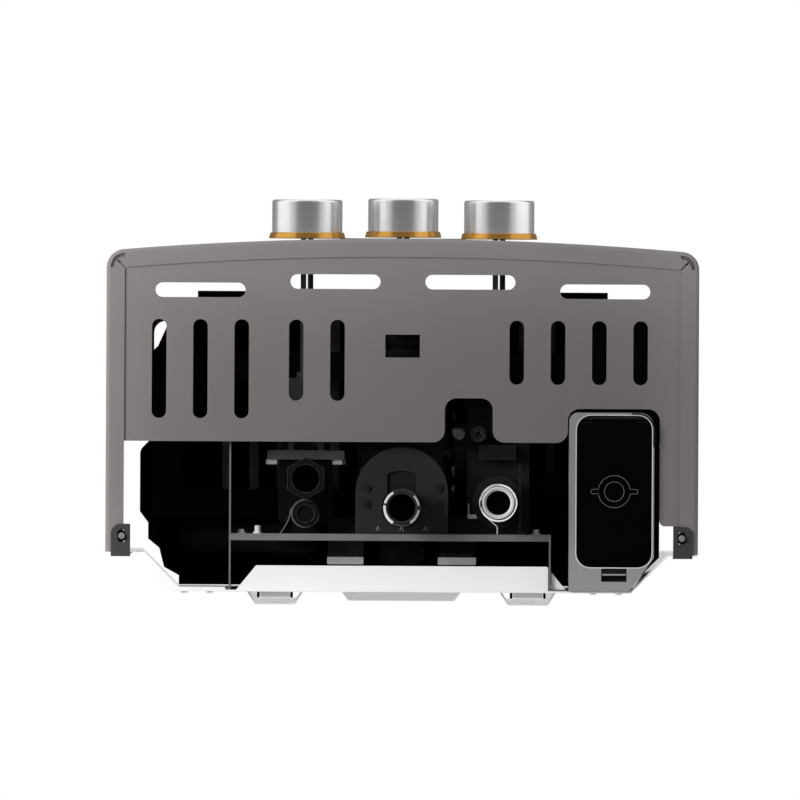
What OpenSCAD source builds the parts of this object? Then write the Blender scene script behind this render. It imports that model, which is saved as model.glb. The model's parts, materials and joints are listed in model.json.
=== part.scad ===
// Wall-hung tankless gas water heater.
// X runs to the right as seen from the front, Y runs into the wall and Z runs up.
// The origin is the hanging hole at the wall. Heights in the modules are counted from the bottom lip.

/* [Case] */
// Width across the side walls
case_w = 326; // [320:1:370]
// Height from the bottom lip to the top lip
case_h = 550; // [540:1:650]
// Depth from the wall to the middle of the bowed front
case_d = 201.5; // [199:0.5:230]
// Radius of the bow of the front
bow_r = 1850; // [1000:10:5000]
// Radius of the upright front corners
corner_r = 10; // [6:0.5:14]
// Outer bend radius between the walls and the lips
bend_r = 2.4; // [1.8:0.1:4]
// Thickness of the sheet metal
sheet = 1; // [0.8:0.1:1.4]
// Width of the lip turned in round both ends
lip_w = 10; // [8:0.5:13]
// Width of the lip turned in round the top
top_lip = 5.5; // [5:0.5:8]
// Width of the lip's ears at the back corners
ear_w = 13.5; // [13:0.5:16]

/* [Vents] */
// Width of a vent slot
slot_w = 8; // [5:0.5:10]
// Length of a slot in the front row
row_slot_l = 49.5; // [30:0.5:56]
// Margin of the front row at each side
row_side = 14.6; // [8:0.1:18]
// Distance of the front row behind the bow
row_in = 23.4; // [20:0.1:28]
// Distance of the upright slots behind the bow
upright_in = 44.75; // [40:0.25:50]
// Pitch of the upright slots
upright_pitch = 22.7; // [18:0.1:24]
// Length of a long upright slot
long_slot = 54.5; // [30:0.5:60]
// Length of a medium upright slot
medium_slot = 44.6; // [30:0.1:55]
// Length of a short upright slot
short_slot = 35.2; // [20:0.1:40]
// Distance of the panel's back edge from the wall
panel_edge = 89.6; // [80:0.1:96]
// Radius of the panel's notches
notch_r = 6.5; // [3:0.5:9]
// Width of the valve notch
notch_w = 26.4; // [22:0.1:34]
// Depth of the valve notch
notch_l = 24.3; // [20:0.1:30]
// Width of the small window
window_w = 19; // [10:0.5:24]
// Length of the small window
window_l = 12.6; // [8:0.1:16]
// Width of a slot in the top panel
top_slot_w = 13; // [8:0.5:16]

/* [Wall side] */
// Depth of the wall rails, which sets the back plate off the wall
rail_d = 7; // [6:0.5:10]
// Width of a rail's flat against the wall
rail_w = 22; // [16:0.5:28]
// Widening of each rail side down to the back plate
rail_slope = 4.4; // [2:0.1:7]
// Distance between the two rails
rail_pitch = 139.2; // [110:0.1:160]
// Height of the rails' lower ends
rail_foot = 15; // [5:1:40]
// Diameter of the wall bolt holes
bolt_d = 6.5; // [5:0.1:9]
// Height of the lower wall bolts
bolt_low = 60; // [40:1:100]
// Drop of the hanging hole below the top lip
hang_drop = 90; // [80:1:120]
// Diameter of the hanging hole
hang_hole_d = 8; // [6:0.1:12]
// Width of the hanging bracket's flat
bracket_w = 59.5; // [45:0.5:80]
// Height of the hanging bracket's flat
bracket_h = 80; // [50:1:120]
// Widening of each side of the hanging bracket
bracket_slope = 5.3; // [2:0.1:8]
// Step from the back plate forward to its wings
wing_set = 20.5; // [18:0.1:24]
// Width of a wing
wing_w = 16.5; // [15:0.1:20]
// Depth of the return flange along the bottom of the back plate
return_l = 13.5; // [8:0.5:16]
// Width of a corner tab
tab_w = 10.7; // [9.5:0.1:12]
// Length of a corner tab in front of its wing
tab_l = 16.5; // [14:0.5:22]

/* [Knobs] */
// Diameter of a knob
knob_d = 38.8; // [30:0.1:44]
// Length of a knob in front of its ring
knob_l = 18.2; // [12:0.1:26]
// Outer diameter of a knob ring
ring_d = 42.4; // [40:0.1:48]
// Length of a knob ring
ring_l = 3.3; // [2:0.1:6]
// Gap between a ring and the cover
knob_gap = 1; // [0.6:0.1:3]
// Diameter of a knob stem
stem_d = 7; // [5:0.1:8]
// Distance between the knobs, which line up with the pipes below them
knob_pitch = 53; // [50:0.5:56]
// Height of the knob stems
knob_h = 85; // [82:0.5:88]

/* [Display] */
// Width of the display window
display_w = 70; // [40:1:110]
// Height of the display window
display_l = 34; // [20:1:44]
// Height of the middle of the display
display_h = 165; // [150:1:220]

/* [Battery box] */
// Distance of the battery case from the side wall
bat_side = 24.3; // [21:0.1:25]
// Width of the battery case
bat_w = 46.8; // [45:0.1:50]
// Distance of the case's front from the wall
bat_front = 106.4; // [102:0.1:112]
// Height of the battery case
bat_h = 75; // [70:0.5:85]
// Width of the battery door
door_w = 41; // [39:0.1:42.5]
// Length of the battery door
door_l = 83; // [78:0.5:85]
// Thickness of the battery door
door_t = 3; // [2:0.1:4]
// Corner radius of the battery door
door_r = 7.5; // [3:0.5:9]
// Diameter of a battery cell
cell_d = 34.2; // [30:0.1:34.8]
// Length of a battery cell
cell_l = 61.5; // [50:0.5:64]
// Diameter of the door lock
lock_d = 18; // [14:0.5:24]
// Width of the door latch
latch_w = 13.3; // [8:0.1:18]
// Travel of the door latch
latch_travel = 2.5; // [1.5:0.1:3]

/* [Connections] */
// Outer diameter of the gas and cold water threads
thread_d = 20.96; // [19:0.01:21.2]
// Bore of the gas and cold water nipples
nipple_bore = 13.4; // [10:0.1:15]
// Drop of the nipples below the case
nipple_drop = 22; // [15:0.5:35]
// Length of the gas and cold water threads
thread_l = 30; // [20:0.5:31]
// Distance of the gas inlet from the wall
gas_y = 53.6; // [53:0.1:56]
// Distance of the cold water inlet from the wall
cold_y = 56.5; // [54:0.1:60]
// Distance of the hot water outlet from the wall
hot_y = 69.3; // [67:0.1:73]
// Width across the flats of the hot water outlet
hot_hex = 20.4; // [19:0.1:24]
// Bore of the hot water outlet
hot_bore = 15.2; // [12:0.1:16]
// Outer diameter of the water pipes
pipe_d = 16; // [12:0.5:18]

/* [Brackets and valves] */
// Distance of the bridge bracket's front from the wall
bridge_y = 39; // [37:0.1:40]
// Left end of the bridge bracket
bridge_left = 95; // [85:0.1:100]
// Height of the bridge bracket's sheet
bridge_h = 50; // [40:1:60]
// Width of the inlet plate
plate_w = 51; // [49:0.5:60]
// Thickness of the inlet plate
plate_t = 1.5; // [1.2:0.1:2.5]
// Width of the gas valve
gas_body_w = 44; // [40:0.5:46]
// Distance of the gas valve's front from the wall
gas_front = 140; // [132:0.5:146]
// Height of the top of the gas valve
gas_top = 100; // [99:0.5:108]
// Left side of the water valve
water_left = 36; // [35:0.5:38]
// Right side of the water valve
water_right = 70; // [68:0.5:76]
// Distance of the water valve's front from the wall
water_front = 112; // [106:0.5:118]
// Height of the top of the water valve
water_top = 125; // [122:0.5:132]
// Diameter of the diaphragm cover
diaphragm_d = 52; // [46:0.5:56]
// Diameter of the linkage rod
rod_d = 5; // [3:0.1:7]
// Travel of the linkage rod
rod_travel = 3; // [1:0.1:3.2]

/* [Burner, exchanger and flue] */
// Distance of the combustion chamber from the side walls
chamber_side = 41; // [38:0.5:53]
// Depth of the combustion chamber
chamber_d = 110; // [100:1:112]
// Distance of the chamber's back from the wall
chamber_y = 55; // [53:0.5:58]
// Height of the burner tray
tray_h = 45; // [38:0.5:55]
// Width of the flange round the burner tray
tray_flange = 17; // [10:0.5:18]
// Number of burner blades
blade_count = 14; // [8:1:16]
// Height of the fin block
fin_h = 50; // [40:0.5:60]
// Number of fins
fin_count = 29; // [11:2:33]
// Outer diameter of the exchanger tubes
tube_d = 16; // [12:0.5:18]
// Pitch of the exchanger tubes
tube_pitch = 30; // [26:0.5:31]
// Distance of the flue hood from the side walls
hood_side = 15.7; // [15.3:0.1:18]
// Height of the flue hood
hood_h = 45; // [30:1:70]
// Distance of the hood's front from the wall
hood_front = 173.7; // [172:0.1:180]
// Drop of the hood's top below the top of the case
hood_drop = 60; // [40:1:100]
// Outer diameter of the flue collar
flue_d = 100; // [80:1:110]
// Distance of the flue from the wall
flue_y = 103; // [98:0.5:110]
// Height of the flue collar above the case
flue_rise = 50; // [30:1:80]

/* [Hidden] */
$fn = 64;

// Overrun of a cutting shape past the face it opens
cut = 1;
// Radial clearance of a pressed fit
snug = 0.02;
// Radial clearance of a running fit
run = 0.05;
// Gap beside a moving piece
clear = 0.3;
// Steps in a rounded corner, in a bend and along the bow
arc_steps = 8;
bend_steps = 4;
bow_steps = 16;

// Case
half_w = case_w / 2;
bat_x1 = half_w - bat_side;
bat_x = bat_x1 - bat_w;
chamber_w = case_w - 2 * chamber_side;
hood_half = half_w - hood_side;
hang_h = case_h - hang_drop;
bow_cy = bow_r - case_d;
bow_end = 2.5 * corner_r;
plate_front = -(rail_d + sheet);
wing_rear = -(rail_d + wing_set);
wing_x = half_w - wing_w;
cover_rear = wing_rear - sheet;
// Overlap of the end panels on the lips
panel_lap = 3;
panel_in = lip_w - panel_lap;
top_in = top_lip - panel_lap;
// Relief slots of the mitred lip corners
relief_r = 6.8;
relief_w = 1.9;
mitre_gap = 1.1;
// Cover screws in the ears
tab_t = 1.4;
tab_edge = 3;
tab_up = 14;
screw_off = [0.6, 1.6];
screw_x = half_w - tab_edge - tab_w / 2 - screw_off.x;
screw_y = wing_rear - tab_l / 2 - screw_off.y;
screw_r = 1.75;
screw_head_r = 3.2;
screw_head_l = 2;
screw_tip = 2;
tab_slot = [4.4, 7.2];

// Vents
row_pitch = (case_w - 2 * row_side) / 4;
long_side = 29.1;
short_side = 32.1;
long_from = long_side - half_w;
medium_from = -58.5;
short_from = half_w - short_side - 3 * upright_pitch;
outer_row_in = 1.9;
notch_x = 36.6;
strip_rear = 44;
strip_r = 3;
cutout_side = 0.8;
cutout_far = 3;
cutout_front = 2;

// Wall side
rail_top = case_h - rail_foot;
bolt_access_r = 8;
hang_access_r = 12;
return_h = 4;
return_gap = 0.9;
return_half = bat_x - return_gap;
return_slant = 11;

// Knobs
knob_r = knob_d / 2;
knob_round = 1.4;
spigot_r = 12;
ring_taper = 0.85;
stem_r = stem_d / 2;
stem_in = 14;
stem_hole_gap = 1.5;
stem_grip = 14;
stem_slit = 0.8;
collar_r = stem_r + 2;
collar_l = 3;
mark = [1.4, 9, 0.6];

// Display
housing_rim = 3;
housing_d = 14;
lens_proud = 0.8;
display_seat = front_y(display_w / 2 + housing_rim, sheet) + run;

// Battery box
bat_drop = 2;
bat_wall = 2;
bat_corner_r = 8;
bat_cut = [13.5, 18.4];
door_rim = 1.4;
door_front_rim = 1.9;
door_gap = 0.4;
door_x = bat_x1 - door_rim - door_w / 2;
door_front = -(bat_front - door_front_rim);
door_rear = door_front + door_l;
door_mid = (door_front + door_rear) / 2;
door_top = door_t - bat_drop;
hinge_y = door_front + door_t / 2;
hinge_h = door_top - door_t / 2;
hinge_half = door_w / 2 - door_r;
pin_r = 0.75;
pin_in = 0.5;
pin_half = door_w / 2 - pin_in;
door_relief = 0.65 * door_t;
cell_side = 2;
cell_between = 1;
cell_pitch = cell_d + cell_between;
cell_h = door_top + clear;
bay_h = bat_h - bat_wall;
bay_w = cell_d + 2 * cell_side;
bay_l = 2 * cell_d + cell_between + 2 * cell_side;
lock_hub_r = 5.2;
lock_proud = 1.5;
lock_ear = [4, 2.8];
lock_clip_r = 7;
lock_clip_t = 0.8;
latch_l = 4.6;
latch_top = 1.6;
latch_wing = 1.2;
latch_y = door_rear + door_gap;
igniter_gap = 2.5;
igniter_w = 41;
igniter_over = 48;
igniter_lap = 0.5;
igniter_back = 1;

// Connections
nipple_spigot = 10;
nipple_wall = 2.2;
cold_x = knob_pitch;
hot_x = -knob_pitch;
spigot_bore_r = thread_d / 2 - 1.4;

// Brackets and valves
bridge_low = 8;
bridge_foot_r = 9.8;
bridge_dip = 2.5;
bridge_right = bat_x - bridge_foot_r;
bridge_flange = 3.8;
bridge_foot_l = 10;
bridge_wing = 118;
plate_low = 10;
plate_top = plate_low + plate_t;
plate_reach = 33.3;
plate_front_y = gas_y + plate_reach;
plate_bend_h = 16;
keyhole_gap = 0.5;
keyhole_w = 16;
keyhole_l = 20.1;
plate_hole = [19.8, 10.8, 2];
plate_hole_r = 1.7;
cast_r = 3;
gas_foot_h = 40;
gas_foot = [46, 22.4, 12.6];
gas_boss = [12.2, 22.5, 67, 4];
gas_bonnet_r = 11;
gas_bonnet_l = 12;
solenoid_r = 12;
solenoid_l = 30;
solenoid_neck = 4;
solenoid_tip = 3;
solenoid_h = 58;
riser_r = 8;
riser_l = 20;
riser_flange = [5, 4];
riser_in = 9;
riser_y = gas_front - riser_in;
manifold_d = 16;
manifold_end = 17;
manifold_w = chamber_w - 2 * manifold_end;
jet_r = 2.5;
jet_l = 10;
jet_gap = 4;
water_low = 30;
boss_h = 24;
boss_r = 14;
valve_foot = [42.7, 62.5, 80, 88, 20];
cover_t = 7;
rod_y = 84;
rod_h = 70;
rod_r = rod_d / 2;
rod_grip = 13;
arm_t = 1.5;
arm_w = 6;
arm_x = gas_body_w / 2 + rod_travel + 2 * clear;
switch_size = [22, 16, 16];
switch_rise = 10;
switch_in = 6;
switch_h = gas_top + switch_rise;
switch_x = gas_body_w / 2 - switch_in;
plunger_r = 1.5;
plunger_grip = 8;
drain_x = 41.9;
drain_y = 94.3;
drain_r = 4.7;
drain_low = 14;
drain_shank = 12;
bleed_x = 31.5;
bleed_r = 3.3;
bleed_l = 3;
lug_low = 38;
lug_half = 4.7;
bracket_x = 64.5;
bracket_t = 1.2;
bracket_front = 77;
outlet_half = 15;
outlet_fore = 10.5;
outlet_aft = 24.3;
outlet_front = hot_y + outlet_fore;
outlet_rear = hot_y - outlet_aft;
outlet_top = 120;
nut_low = 4;
port_r = 7.2;
port_low = 15;
port_y = hot_y - hot_hex / cos(30) / 2 - port_r - clear;
flange_half = 21.2;
flange_t = 4.9;
flange_low = 25;
flange_top = 88;
flange_screw = [18, 6];
flange_screw_r = 2.4;
mix_half = 13;
mix_l = 40;
mix_low = 60;
mix_top = 105;
mix_rib = [1.5, 8.3, 12, 40];

// Burner, exchanger and flue
burner_h = gas_top + riser_l + manifold_d + jet_l + jet_gap;
chamber_low = burner_h + tray_h;
hood_top = case_h - hood_drop;
hood_low = hood_top - hood_h;
fin_low = hood_low - fin_h;
tray_strip = 7;
tray_side_l = 72;
tray_side_front = chamber_y + tray_side_l;
tray_ledge = 8;
blade_t = 5;
blade_end = 1.5;
electrode_x = 18;
electrode_r = 3;
electrode_l = 22;
electrode_tip_r = 0.8;
electrode_tip_l = 10;
overheat = [60, 8, 6, 15];
bracket_leg = [21, 41, 26, 4];
bracket_arm_h = 5;
bracket_drop = 100;
pipe_r = pipe_d / 2;
pipe_elbow_r = pipe_r + 0.6;
pipe_gap = 1.2;
side_x = chamber_w / 2 + pipe_gap + pipe_r;
hot_back_y = min(chamber_y - tray_strip - pipe_gap - pipe_r, outlet_rear - pipe_elbow_r - clear);
hot_riser_in = 8;
hot_riser_x = chamber_w / 2 - hot_riser_in;
run_margin = 2;
hot_run_h = outlet_top - pipe_r - run_margin;
cold_run_h = water_top - pipe_r - run_margin;
cold_run_y = 64.5;
tube_r = tube_d / 2;
tube_h = fin_low + fin_h / 2;
tube_mid_y = chamber_y + chamber_d / 2;
tube_out = 0.5;
tube_end = chamber_w / 2 + tube_out;
fin_t = 0.6;
fin_margin = 10;
hood_rear = 8.5;
// Corners of the hood in plan, in from its side and from its front or rear
hood_nose = [32, 3.6];
hood_cheek = [27.4, 4.6];
hood_brow = [16, 17.1];
hood_temple = [4.9, 42];
hood_waist = [4.9, 89.5];
hood_knee = 41;
hood_heel = [4.7, 34.7];
hood_hip = [4.7, 25.7];
hood_shin = [11, 20.5];
hood_calf = [13.7, 9.8];
hood_foot = [22.1, 5.1];
hood_r = 5.5;
hood_mouth = 4;
baffle_drop = 22;
baffle_lap = 10;
flue_r = flue_d / 2;
flue_gap = 6;
collar_flange = 8;

// Unit vector along v
function unit(v) = v / norm(v);
// Outline whose corners, given as [x, y, radius], are rounded
function rounded(corners) = [
    for (i = [0 : len(corners) - 1])
        let (
            n = len(corners),
            before = corners[(i + n - 1) % n],
            after = corners[(i + 1) % n],
            p = [corners[i].x, corners[i].y],
            r = corners[i].z
        )
        each r == 0 ? [p] : corner_arc(p, [before.x, before.y], [after.x, after.y], r)
];
// Arc that rounds the corner p between its two neighbours
function corner_arc(p, before, after, r) =
    let (
        a = unit(before - p),
        b = unit(after - p),
        half = acos(a * b) / 2,
        centre = p + unit(a + b) * r / sin(half),
        from = p + a * r / tan(half) - centre,
        start = atan2(from.y, from.x),
        sweep = (cross(a, b) > 0 ? -1 : 1) * (180 - 2 * half)
    )
    [
        for (s = [0 : arc_steps])
            let (turn = start + sweep * s / arc_steps)
            centre + r * [cos(turn), sin(turn)]
    ];
// Rectangle with rounded corners
function rect(x0, x1, y0, y1, r = 0) = rounded([[x0, y0, r], [x1, y0, r], [x1, y1, r], [x0, y1, r]]);
// Slot with round ends about a middle point
function slot(x, y, w, l) =
    rect(x - w / 2, x + w / 2, y - l / 2, y + l / 2, min(w, l) / 2 - 0.05);
// Outline mirrored about the middle of the case, from its right half
function both_sides(right) =
    concat(right, [for (i = [len(right) - 1 : -1 : 0]) [-right[i].x, right[i].y, right[i].z]]);
// Front of the case at x, set in by d
function front_y(x, d = 0) = bow_cy - sqrt(pow(bow_r - d, 2) - x * x);
// Points along the bow from x = half to the middle, set in by d
function bow(half, d) = [
    for (i = [0 : bow_steps / 2 - 1])
        let (x = half * (1 - 2 * i / bow_steps))
        [x, front_y(x, d), 0]
];
// Plan outline of the case, set in by d and open towards the wall at rear
function case_points(d, rear) = rounded(both_sides(concat(
    [[half_w - d, rear, 0], [half_w - d, front_y(half_w - d, d), corner_r - d]],
    bow(half_w - bow_end, d)
)));
// Plan outline of the opening inside a lip with ears at its back corners
function opening_points(lip, ear) = rounded(both_sides(concat(
    [
        [half_w - ear, cover_rear + cut, 0],
        [half_w - ear, wing_rear - tab_l, 0],
        [half_w - lip, wing_rear - tab_l, 0]
    ],
    bow(half_w - lip, lip)
)));
// Seat of a knob's ring, in front of the cover
function knob_seat(x) = front_y(x) - knob_gap;
// Thickness of a slanted sheet, measured along its base
function slant_t(slope) = sheet * norm([rail_d, slope]) / rail_d;

module up(h) {
    translate([0, 0, h - hang_h]) children();
}

// Plan outline raised between two heights
module slab(h0, h1) {
    up(h0) linear_extrude(h1 - h0) children();
}

module block(x0, x1, y0, y1, h0, h1, r = 0) {
    slab(h0, h1) polygon(rect(x0, x1, y0, y1, r));
}

module bar_x(x0, x1, y, h, r) {
    up(h) translate([x0, y, 0]) rotate([0, 90, 0]) cylinder(r = r, h = x1 - x0);
}

module bar_y(x, y0, y1, h, r) {
    up(h) translate([x, y0, 0]) rotate([-90, 0, 0]) cylinder(r = r, h = y1 - y0);
}

module bar_z(x, y, h0, h1, r) {
    up(h0) translate([x, y, 0]) cylinder(r = r, h = h1 - h0);
}

// Shape turned to face away from the wall at the height of the knobs
module facing_front(x) {
    up(knob_h) translate([x, knob_seat(x), 0]) rotate([90, 0, 0]) children();
}

// Solid through rings of points at rising heights
module loft(rings) {
    n = len(rings[0]);
    sides = [
        for (j = [0 : len(rings) - 2], i = [0 : n - 1])
            let (a = j * n + i, b = j * n + (i + 1) % n)
            each [[a, b, b + n], [a, b + n, a + n]]
    ];
    bottom = [for (i = [n - 1 : -1 : 0]) i];
    top = [for (i = [0 : n - 1]) (len(rings) - 1) * n + i];
    polyhedron(points = [for (ring = rings) each ring], faces = concat([bottom, top], sides));
}

// Case volume set in by d, with bent edges round both ends
module bent_box(d, rear) {
    r = bend_r - d;
    turns = [for (k = [0 : bend_steps]) 90 * k / bend_steps];
    levels = concat(
        [for (a = turns) [bend_r - r * sin(a), d + r * (1 - cos(a))]],
        [for (k = [bend_steps : -1 : 0]) [bend_r - r * sin(turns[k]), case_h - d - r * (1 - cos(turns[k]))]]
    );
    loft([for (l = levels) [for (p = case_points(l[0], rear)) [p.x, p.y, l[1] - hang_h]]]);
}

// Relief slot and mitre gap of the right front lip corner
module corner_relief() {
    inner = relief_r - relief_w / 2;
    outer = relief_r + relief_w / 2;
    angles = [for (s = [0 : arc_steps]) -90 * s / arc_steps];
    translate([half_w - lip_w, front_y(half_w - lip_w, lip_w)]) {
        polygon(concat(
            [for (a = angles) inner * [cos(a), sin(a)]],
            [for (i = [arc_steps : -1 : 0]) outer * [cos(angles[i]), sin(angles[i])]]
        ));
        rotate(-45) translate([-mitre_gap, -mitre_gap / 2]) square([relief_r + mitre_gap, mitre_gap]);
    }
}

module front_cover() {
    color("gray") difference() {
        bent_box(0, cover_rear);
        bent_box(sheet, cover_rear + cut);
        slab(-cut, bend_r) polygon(opening_points(lip_w, ear_w));
        slab(case_h - bend_r, case_h + cut) polygon(case_points(top_lip, cover_rear + cut));
        for (side = [0, 1]) mirror([side, 0]) {
            slab(-cut, bend_r) corner_relief();
            slab(-cut, bend_r) polygon(slot(screw_x, screw_y, tab_slot.x, tab_slot.y));
        }
        for (i = [-1 : 1])
            bar_y(i * knob_pitch, -case_d - cut, -case_d + corner_r, knob_h, stem_r + stem_hole_gap);
        block(
            -display_w / 2 - clear, display_w / 2 + clear, -case_d - cut, -case_d + corner_r,
            display_h - display_l / 2 - clear, display_h + display_l / 2 + clear
        );
    }
}

// Front row of slots, four along the bow
module row_slots(w, l) {
    for (i = [-1.5 : 1 : 1.5]) {
        x = i * row_pitch;
        set_in = row_in + (abs(i) > 1 ? outer_row_in : 0);
        polygon(slot(x, front_y(x) + set_in, l, w));
    }
}

// Row of upright slots to the right of x
module upright_slots(x, count, w, l) {
    for (i = [0 : count - 1])
        polygon(slot(x + i * upright_pitch, upright_in - case_d + l / 2, w, l));
}

module bottom_panel() {
    cutout_x = bat_x - cutout_side;
    cutout_x1 = bat_x1 + cutout_far;
    front = -bat_front - cutout_front;
    window_front = upright_in - case_d + slot_w;
    edge = -panel_edge;
    right = half_w - panel_in;
    bow_right = bow(right, panel_in);
    bow_left = [for (i = [len(bow_right) - 1 : -1 : 0]) [-bow_right[i].x, bow_right[i].y, 0]];
    color("gray") slab(sheet, 2 * sheet) difference() {
        polygon(rounded(concat(bow_right, bow_left, [
            [-right, edge, 0],
            [notch_x - notch_w / 2, edge, notch_r],
            [notch_x - notch_w / 2, edge - notch_l, notch_r],
            [notch_x + notch_w / 2, edge - notch_l, notch_r],
            [notch_x + notch_w / 2, edge, notch_r],
            [cutout_x, edge, notch_r],
            [cutout_x, front, notch_r],
            [cutout_x1, front, notch_r],
            [cutout_x1, -strip_rear, strip_r],
            [right, -strip_rear, 0]
        ])));
        row_slots(slot_w, row_slot_l);
        upright_slots(long_from, 3, slot_w, long_slot);
        upright_slots(medium_from, 2, slot_w, medium_slot);
        upright_slots(short_from, 4, slot_w, short_slot);
        polygon(rect(-window_w / 2, window_w / 2, window_front, window_front + window_l));
    }
}

module top_panel() {
    notch = flue_r + flue_gap;
    color("gray") slab(case_h - 2 * sheet, case_h - sheet) difference() {
        polygon(case_points(top_in, -panel_edge));
        row_slots(top_slot_w, row_slot_l + top_slot_w);
        upright_slots(long_from, 3, top_slot_w, long_slot);
        upright_slots(short_from + upright_pitch, 3, top_slot_w, short_slot);
        translate([0, -flue_y]) circle(r = notch);
        translate([cut - notch, -flue_y]) square([2 * (notch - cut), flue_y]);
    }
}

// Places of the four wall bolts
module at_wall_bolts() {
    for (x = [-rail_pitch / 2, rail_pitch / 2], h = [bolt_low, hang_h])
        translate([x, 0, h]) children();
}

module back_plate() {
    bend = tan(22.5) * sheet;
    flat_x = wing_x - wing_set;
    color("whitesmoke") difference() {
        union() {
            slab(0, case_h) polygon([
                [half_w, wing_rear], [wing_x, wing_rear], [flat_x, -rail_d],
                [-flat_x, -rail_d], [-wing_x, wing_rear], [-half_w, wing_rear],
                [-half_w, cover_rear], [bend - wing_x, cover_rear], [bend - flat_x, plate_front],
                [flat_x - bend, plate_front], [wing_x - bend, cover_rear], [half_w, cover_rear]
            ]);
            slab(return_h, return_h + sheet) polygon([
                [-return_half, plate_front + sheet / 2], [return_half, plate_front + sheet / 2],
                [return_half, plate_front], [return_half - return_slant, plate_front - return_l],
                [return_slant - return_half, plate_front - return_l], [-return_half, plate_front]
            ]);
        }
        block(
            bridge_right - sheet - clear, bridge_right + clear, plate_front - return_l - cut, plate_front,
            return_h - cut, return_h + sheet + cut
        );
        at_wall_bolts() bar_y(0, plate_front - cut, cut - rail_d, 0, bolt_access_r);
        bar_y(0, plate_front - cut, cut - rail_d, hang_h, hang_access_r);
    }
}

module wall_rails() {
    base = rail_w / 2 + rail_slope;
    t = slant_t(rail_slope);
    inner = rail_w / 2 + rail_slope * sheet / rail_d - t;
    color("whitesmoke") difference() {
        for (side = [-1, 1])
            slab(rail_foot, rail_top) translate([side * rail_pitch / 2, 0]) polygon([
                [-base, -rail_d], [-rail_w / 2, 0], [rail_w / 2, 0], [base, -rail_d],
                [base - t, -rail_d], [inner, -sheet], [-inner, -sheet], [t - base, -rail_d]
            ]);
        at_wall_bolts() bar_y(0, -sheet - cut, cut, 0, bolt_d / 2);
    }
}

// Shallow pan that widens from its face at y1 to its base at y0
module pan(face_w, face_h, slope, y0, y1) {
    function side(half) = [[-half - slope, y0], [half + slope, y0], [half, y1], [-half, y1]];
    intersection() {
        translate([0, 0, -face_h]) linear_extrude(2 * face_h) polygon(side(face_w / 2));
        rotate([90, 0, 90]) translate([0, 0, -face_w]) linear_extrude(2 * face_w)
            polygon([for (p = side(face_h / 2)) [p.y, p.x]]);
    }
}

module hang_bracket() {
    inner_slope = bracket_slope * (rail_d - sheet) / rail_d;
    inset = 2 * (slant_t(bracket_slope) - bracket_slope * sheet / rail_d);
    over = inner_slope * cut / (rail_d - sheet);
    color("silver") difference() {
        pan(bracket_w, bracket_h, bracket_slope, -rail_d, 0);
        pan(bracket_w - inset, bracket_h - inset, inner_slope + over, -rail_d - cut, -sheet);
        bar_y(0, -sheet - cut, cut, hang_h, hang_hole_d / 2);
    }
}

module corner_tabs() {
    x0 = half_w - tab_edge - tab_w;
    x1 = half_w - tab_edge;
    color("dimgray") for (side = [0, 1]) mirror([side, 0]) difference() {
        union() {
            slab(-tab_t, 0) polygon(rounded([
                [x0, wing_rear + tab_t, 0], [x0, wing_rear - tab_l, 0],
                [x1, wing_rear - tab_l, tab_w / 2], [x1, wing_rear + tab_t, 0]
            ]));
            block(x0, x1, wing_rear, wing_rear + tab_t, -tab_t, tab_up);
        }
        slab(-tab_t - cut, cut) polygon(slot(screw_x, screw_y, tab_slot.x, tab_slot.y));
    }
}

module cover_screws() {
    color("gainsboro") for (side = [-1, 1]) {
        bar_z(side * screw_x, screw_y, sheet, sheet + screw_head_l, screw_head_r);
        bar_z(side * screw_x, screw_y, -tab_t - screw_tip, sheet + screw_head_l / 2, screw_r);
    }
}

module display_lens() {
    color("black") block(
        -display_w / 2, display_w / 2, -case_d - lens_proud, display_seat,
        display_h - display_l / 2, display_h + display_l / 2
    );
}

module display_housing() {
    rear = display_seat;
    low = display_h - display_l / 2 - housing_rim;
    high = display_h + display_l / 2 + housing_rim;
    color("dimgray") difference() {
        block(-display_w / 2 - housing_rim, display_w / 2 + housing_rim, rear, rear + housing_d, low, high);
        block(
            -display_w / 2 + housing_rim, display_w / 2 - housing_rim, rear - cut, rear + housing_d - sheet,
            low + 2 * housing_rim, high - 2 * housing_rim
        );
    }
}

module knob(x) {
    end = ring_l + knob_l;
    color("silver") facing_front(x) difference() {
        rotate_extrude() polygon(rounded([
            [0, 0, 0], [spigot_r, 0, 0], [spigot_r, ring_l, 0], [knob_r, ring_l, 0],
            [knob_r, end, knob_round], [0, end, 0]
        ]));
        translate([0, 0, -cut]) cylinder(r = stem_r + snug, h = stem_in + clear + cut);
        translate([-mark.x / 2, knob_r - mark.y - 2 * knob_round, end - mark.z])
            cube([mark.x, mark.y, mark.z + cut]);
    }
}

module knob_ring(x) {
    color("goldenrod") facing_front(x) rotate_extrude() polygon([
        [spigot_r + snug, 0], [ring_d / 2, 0], [ring_d / 2 - ring_taper, ring_l], [spigot_r + snug, ring_l]
    ]);
}

// Stem from inside a knob to the face of its valve at y
module knob_stem(x, y) {
    collar_front = y - clear - collar_l;
    color("dimgray") difference() {
        union() {
            bar_y(x, knob_seat(x) - stem_in, y + stem_grip, knob_h, stem_r);
            bar_y(x, collar_front, y - clear, knob_h, collar_r);
        }
        block(
            x - stem_slit / 2, x + stem_slit / 2, knob_seat(x) - stem_in - cut, collar_front - stem_r,
            knob_h - stem_d, knob_h + stem_d
        );
    }
}

// Bore that guides a knob's stem behind a valve face at y
module stem_bore(x, y) {
    bar_y(x, y - cut, y + stem_grip + clear, knob_h, stem_r + run);
}

module temperature_knob() { knob(-knob_pitch); }

module temperature_ring() { knob_ring(-knob_pitch); }

module temperature_stem() { knob_stem(-knob_pitch, mix_front); }

module gas_knob() { knob(0); }

module gas_ring() { knob_ring(0); }

module gas_stem() { knob_stem(0, -gas_front - gas_bonnet_l); }

module flow_knob() { knob(knob_pitch); }

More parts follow.
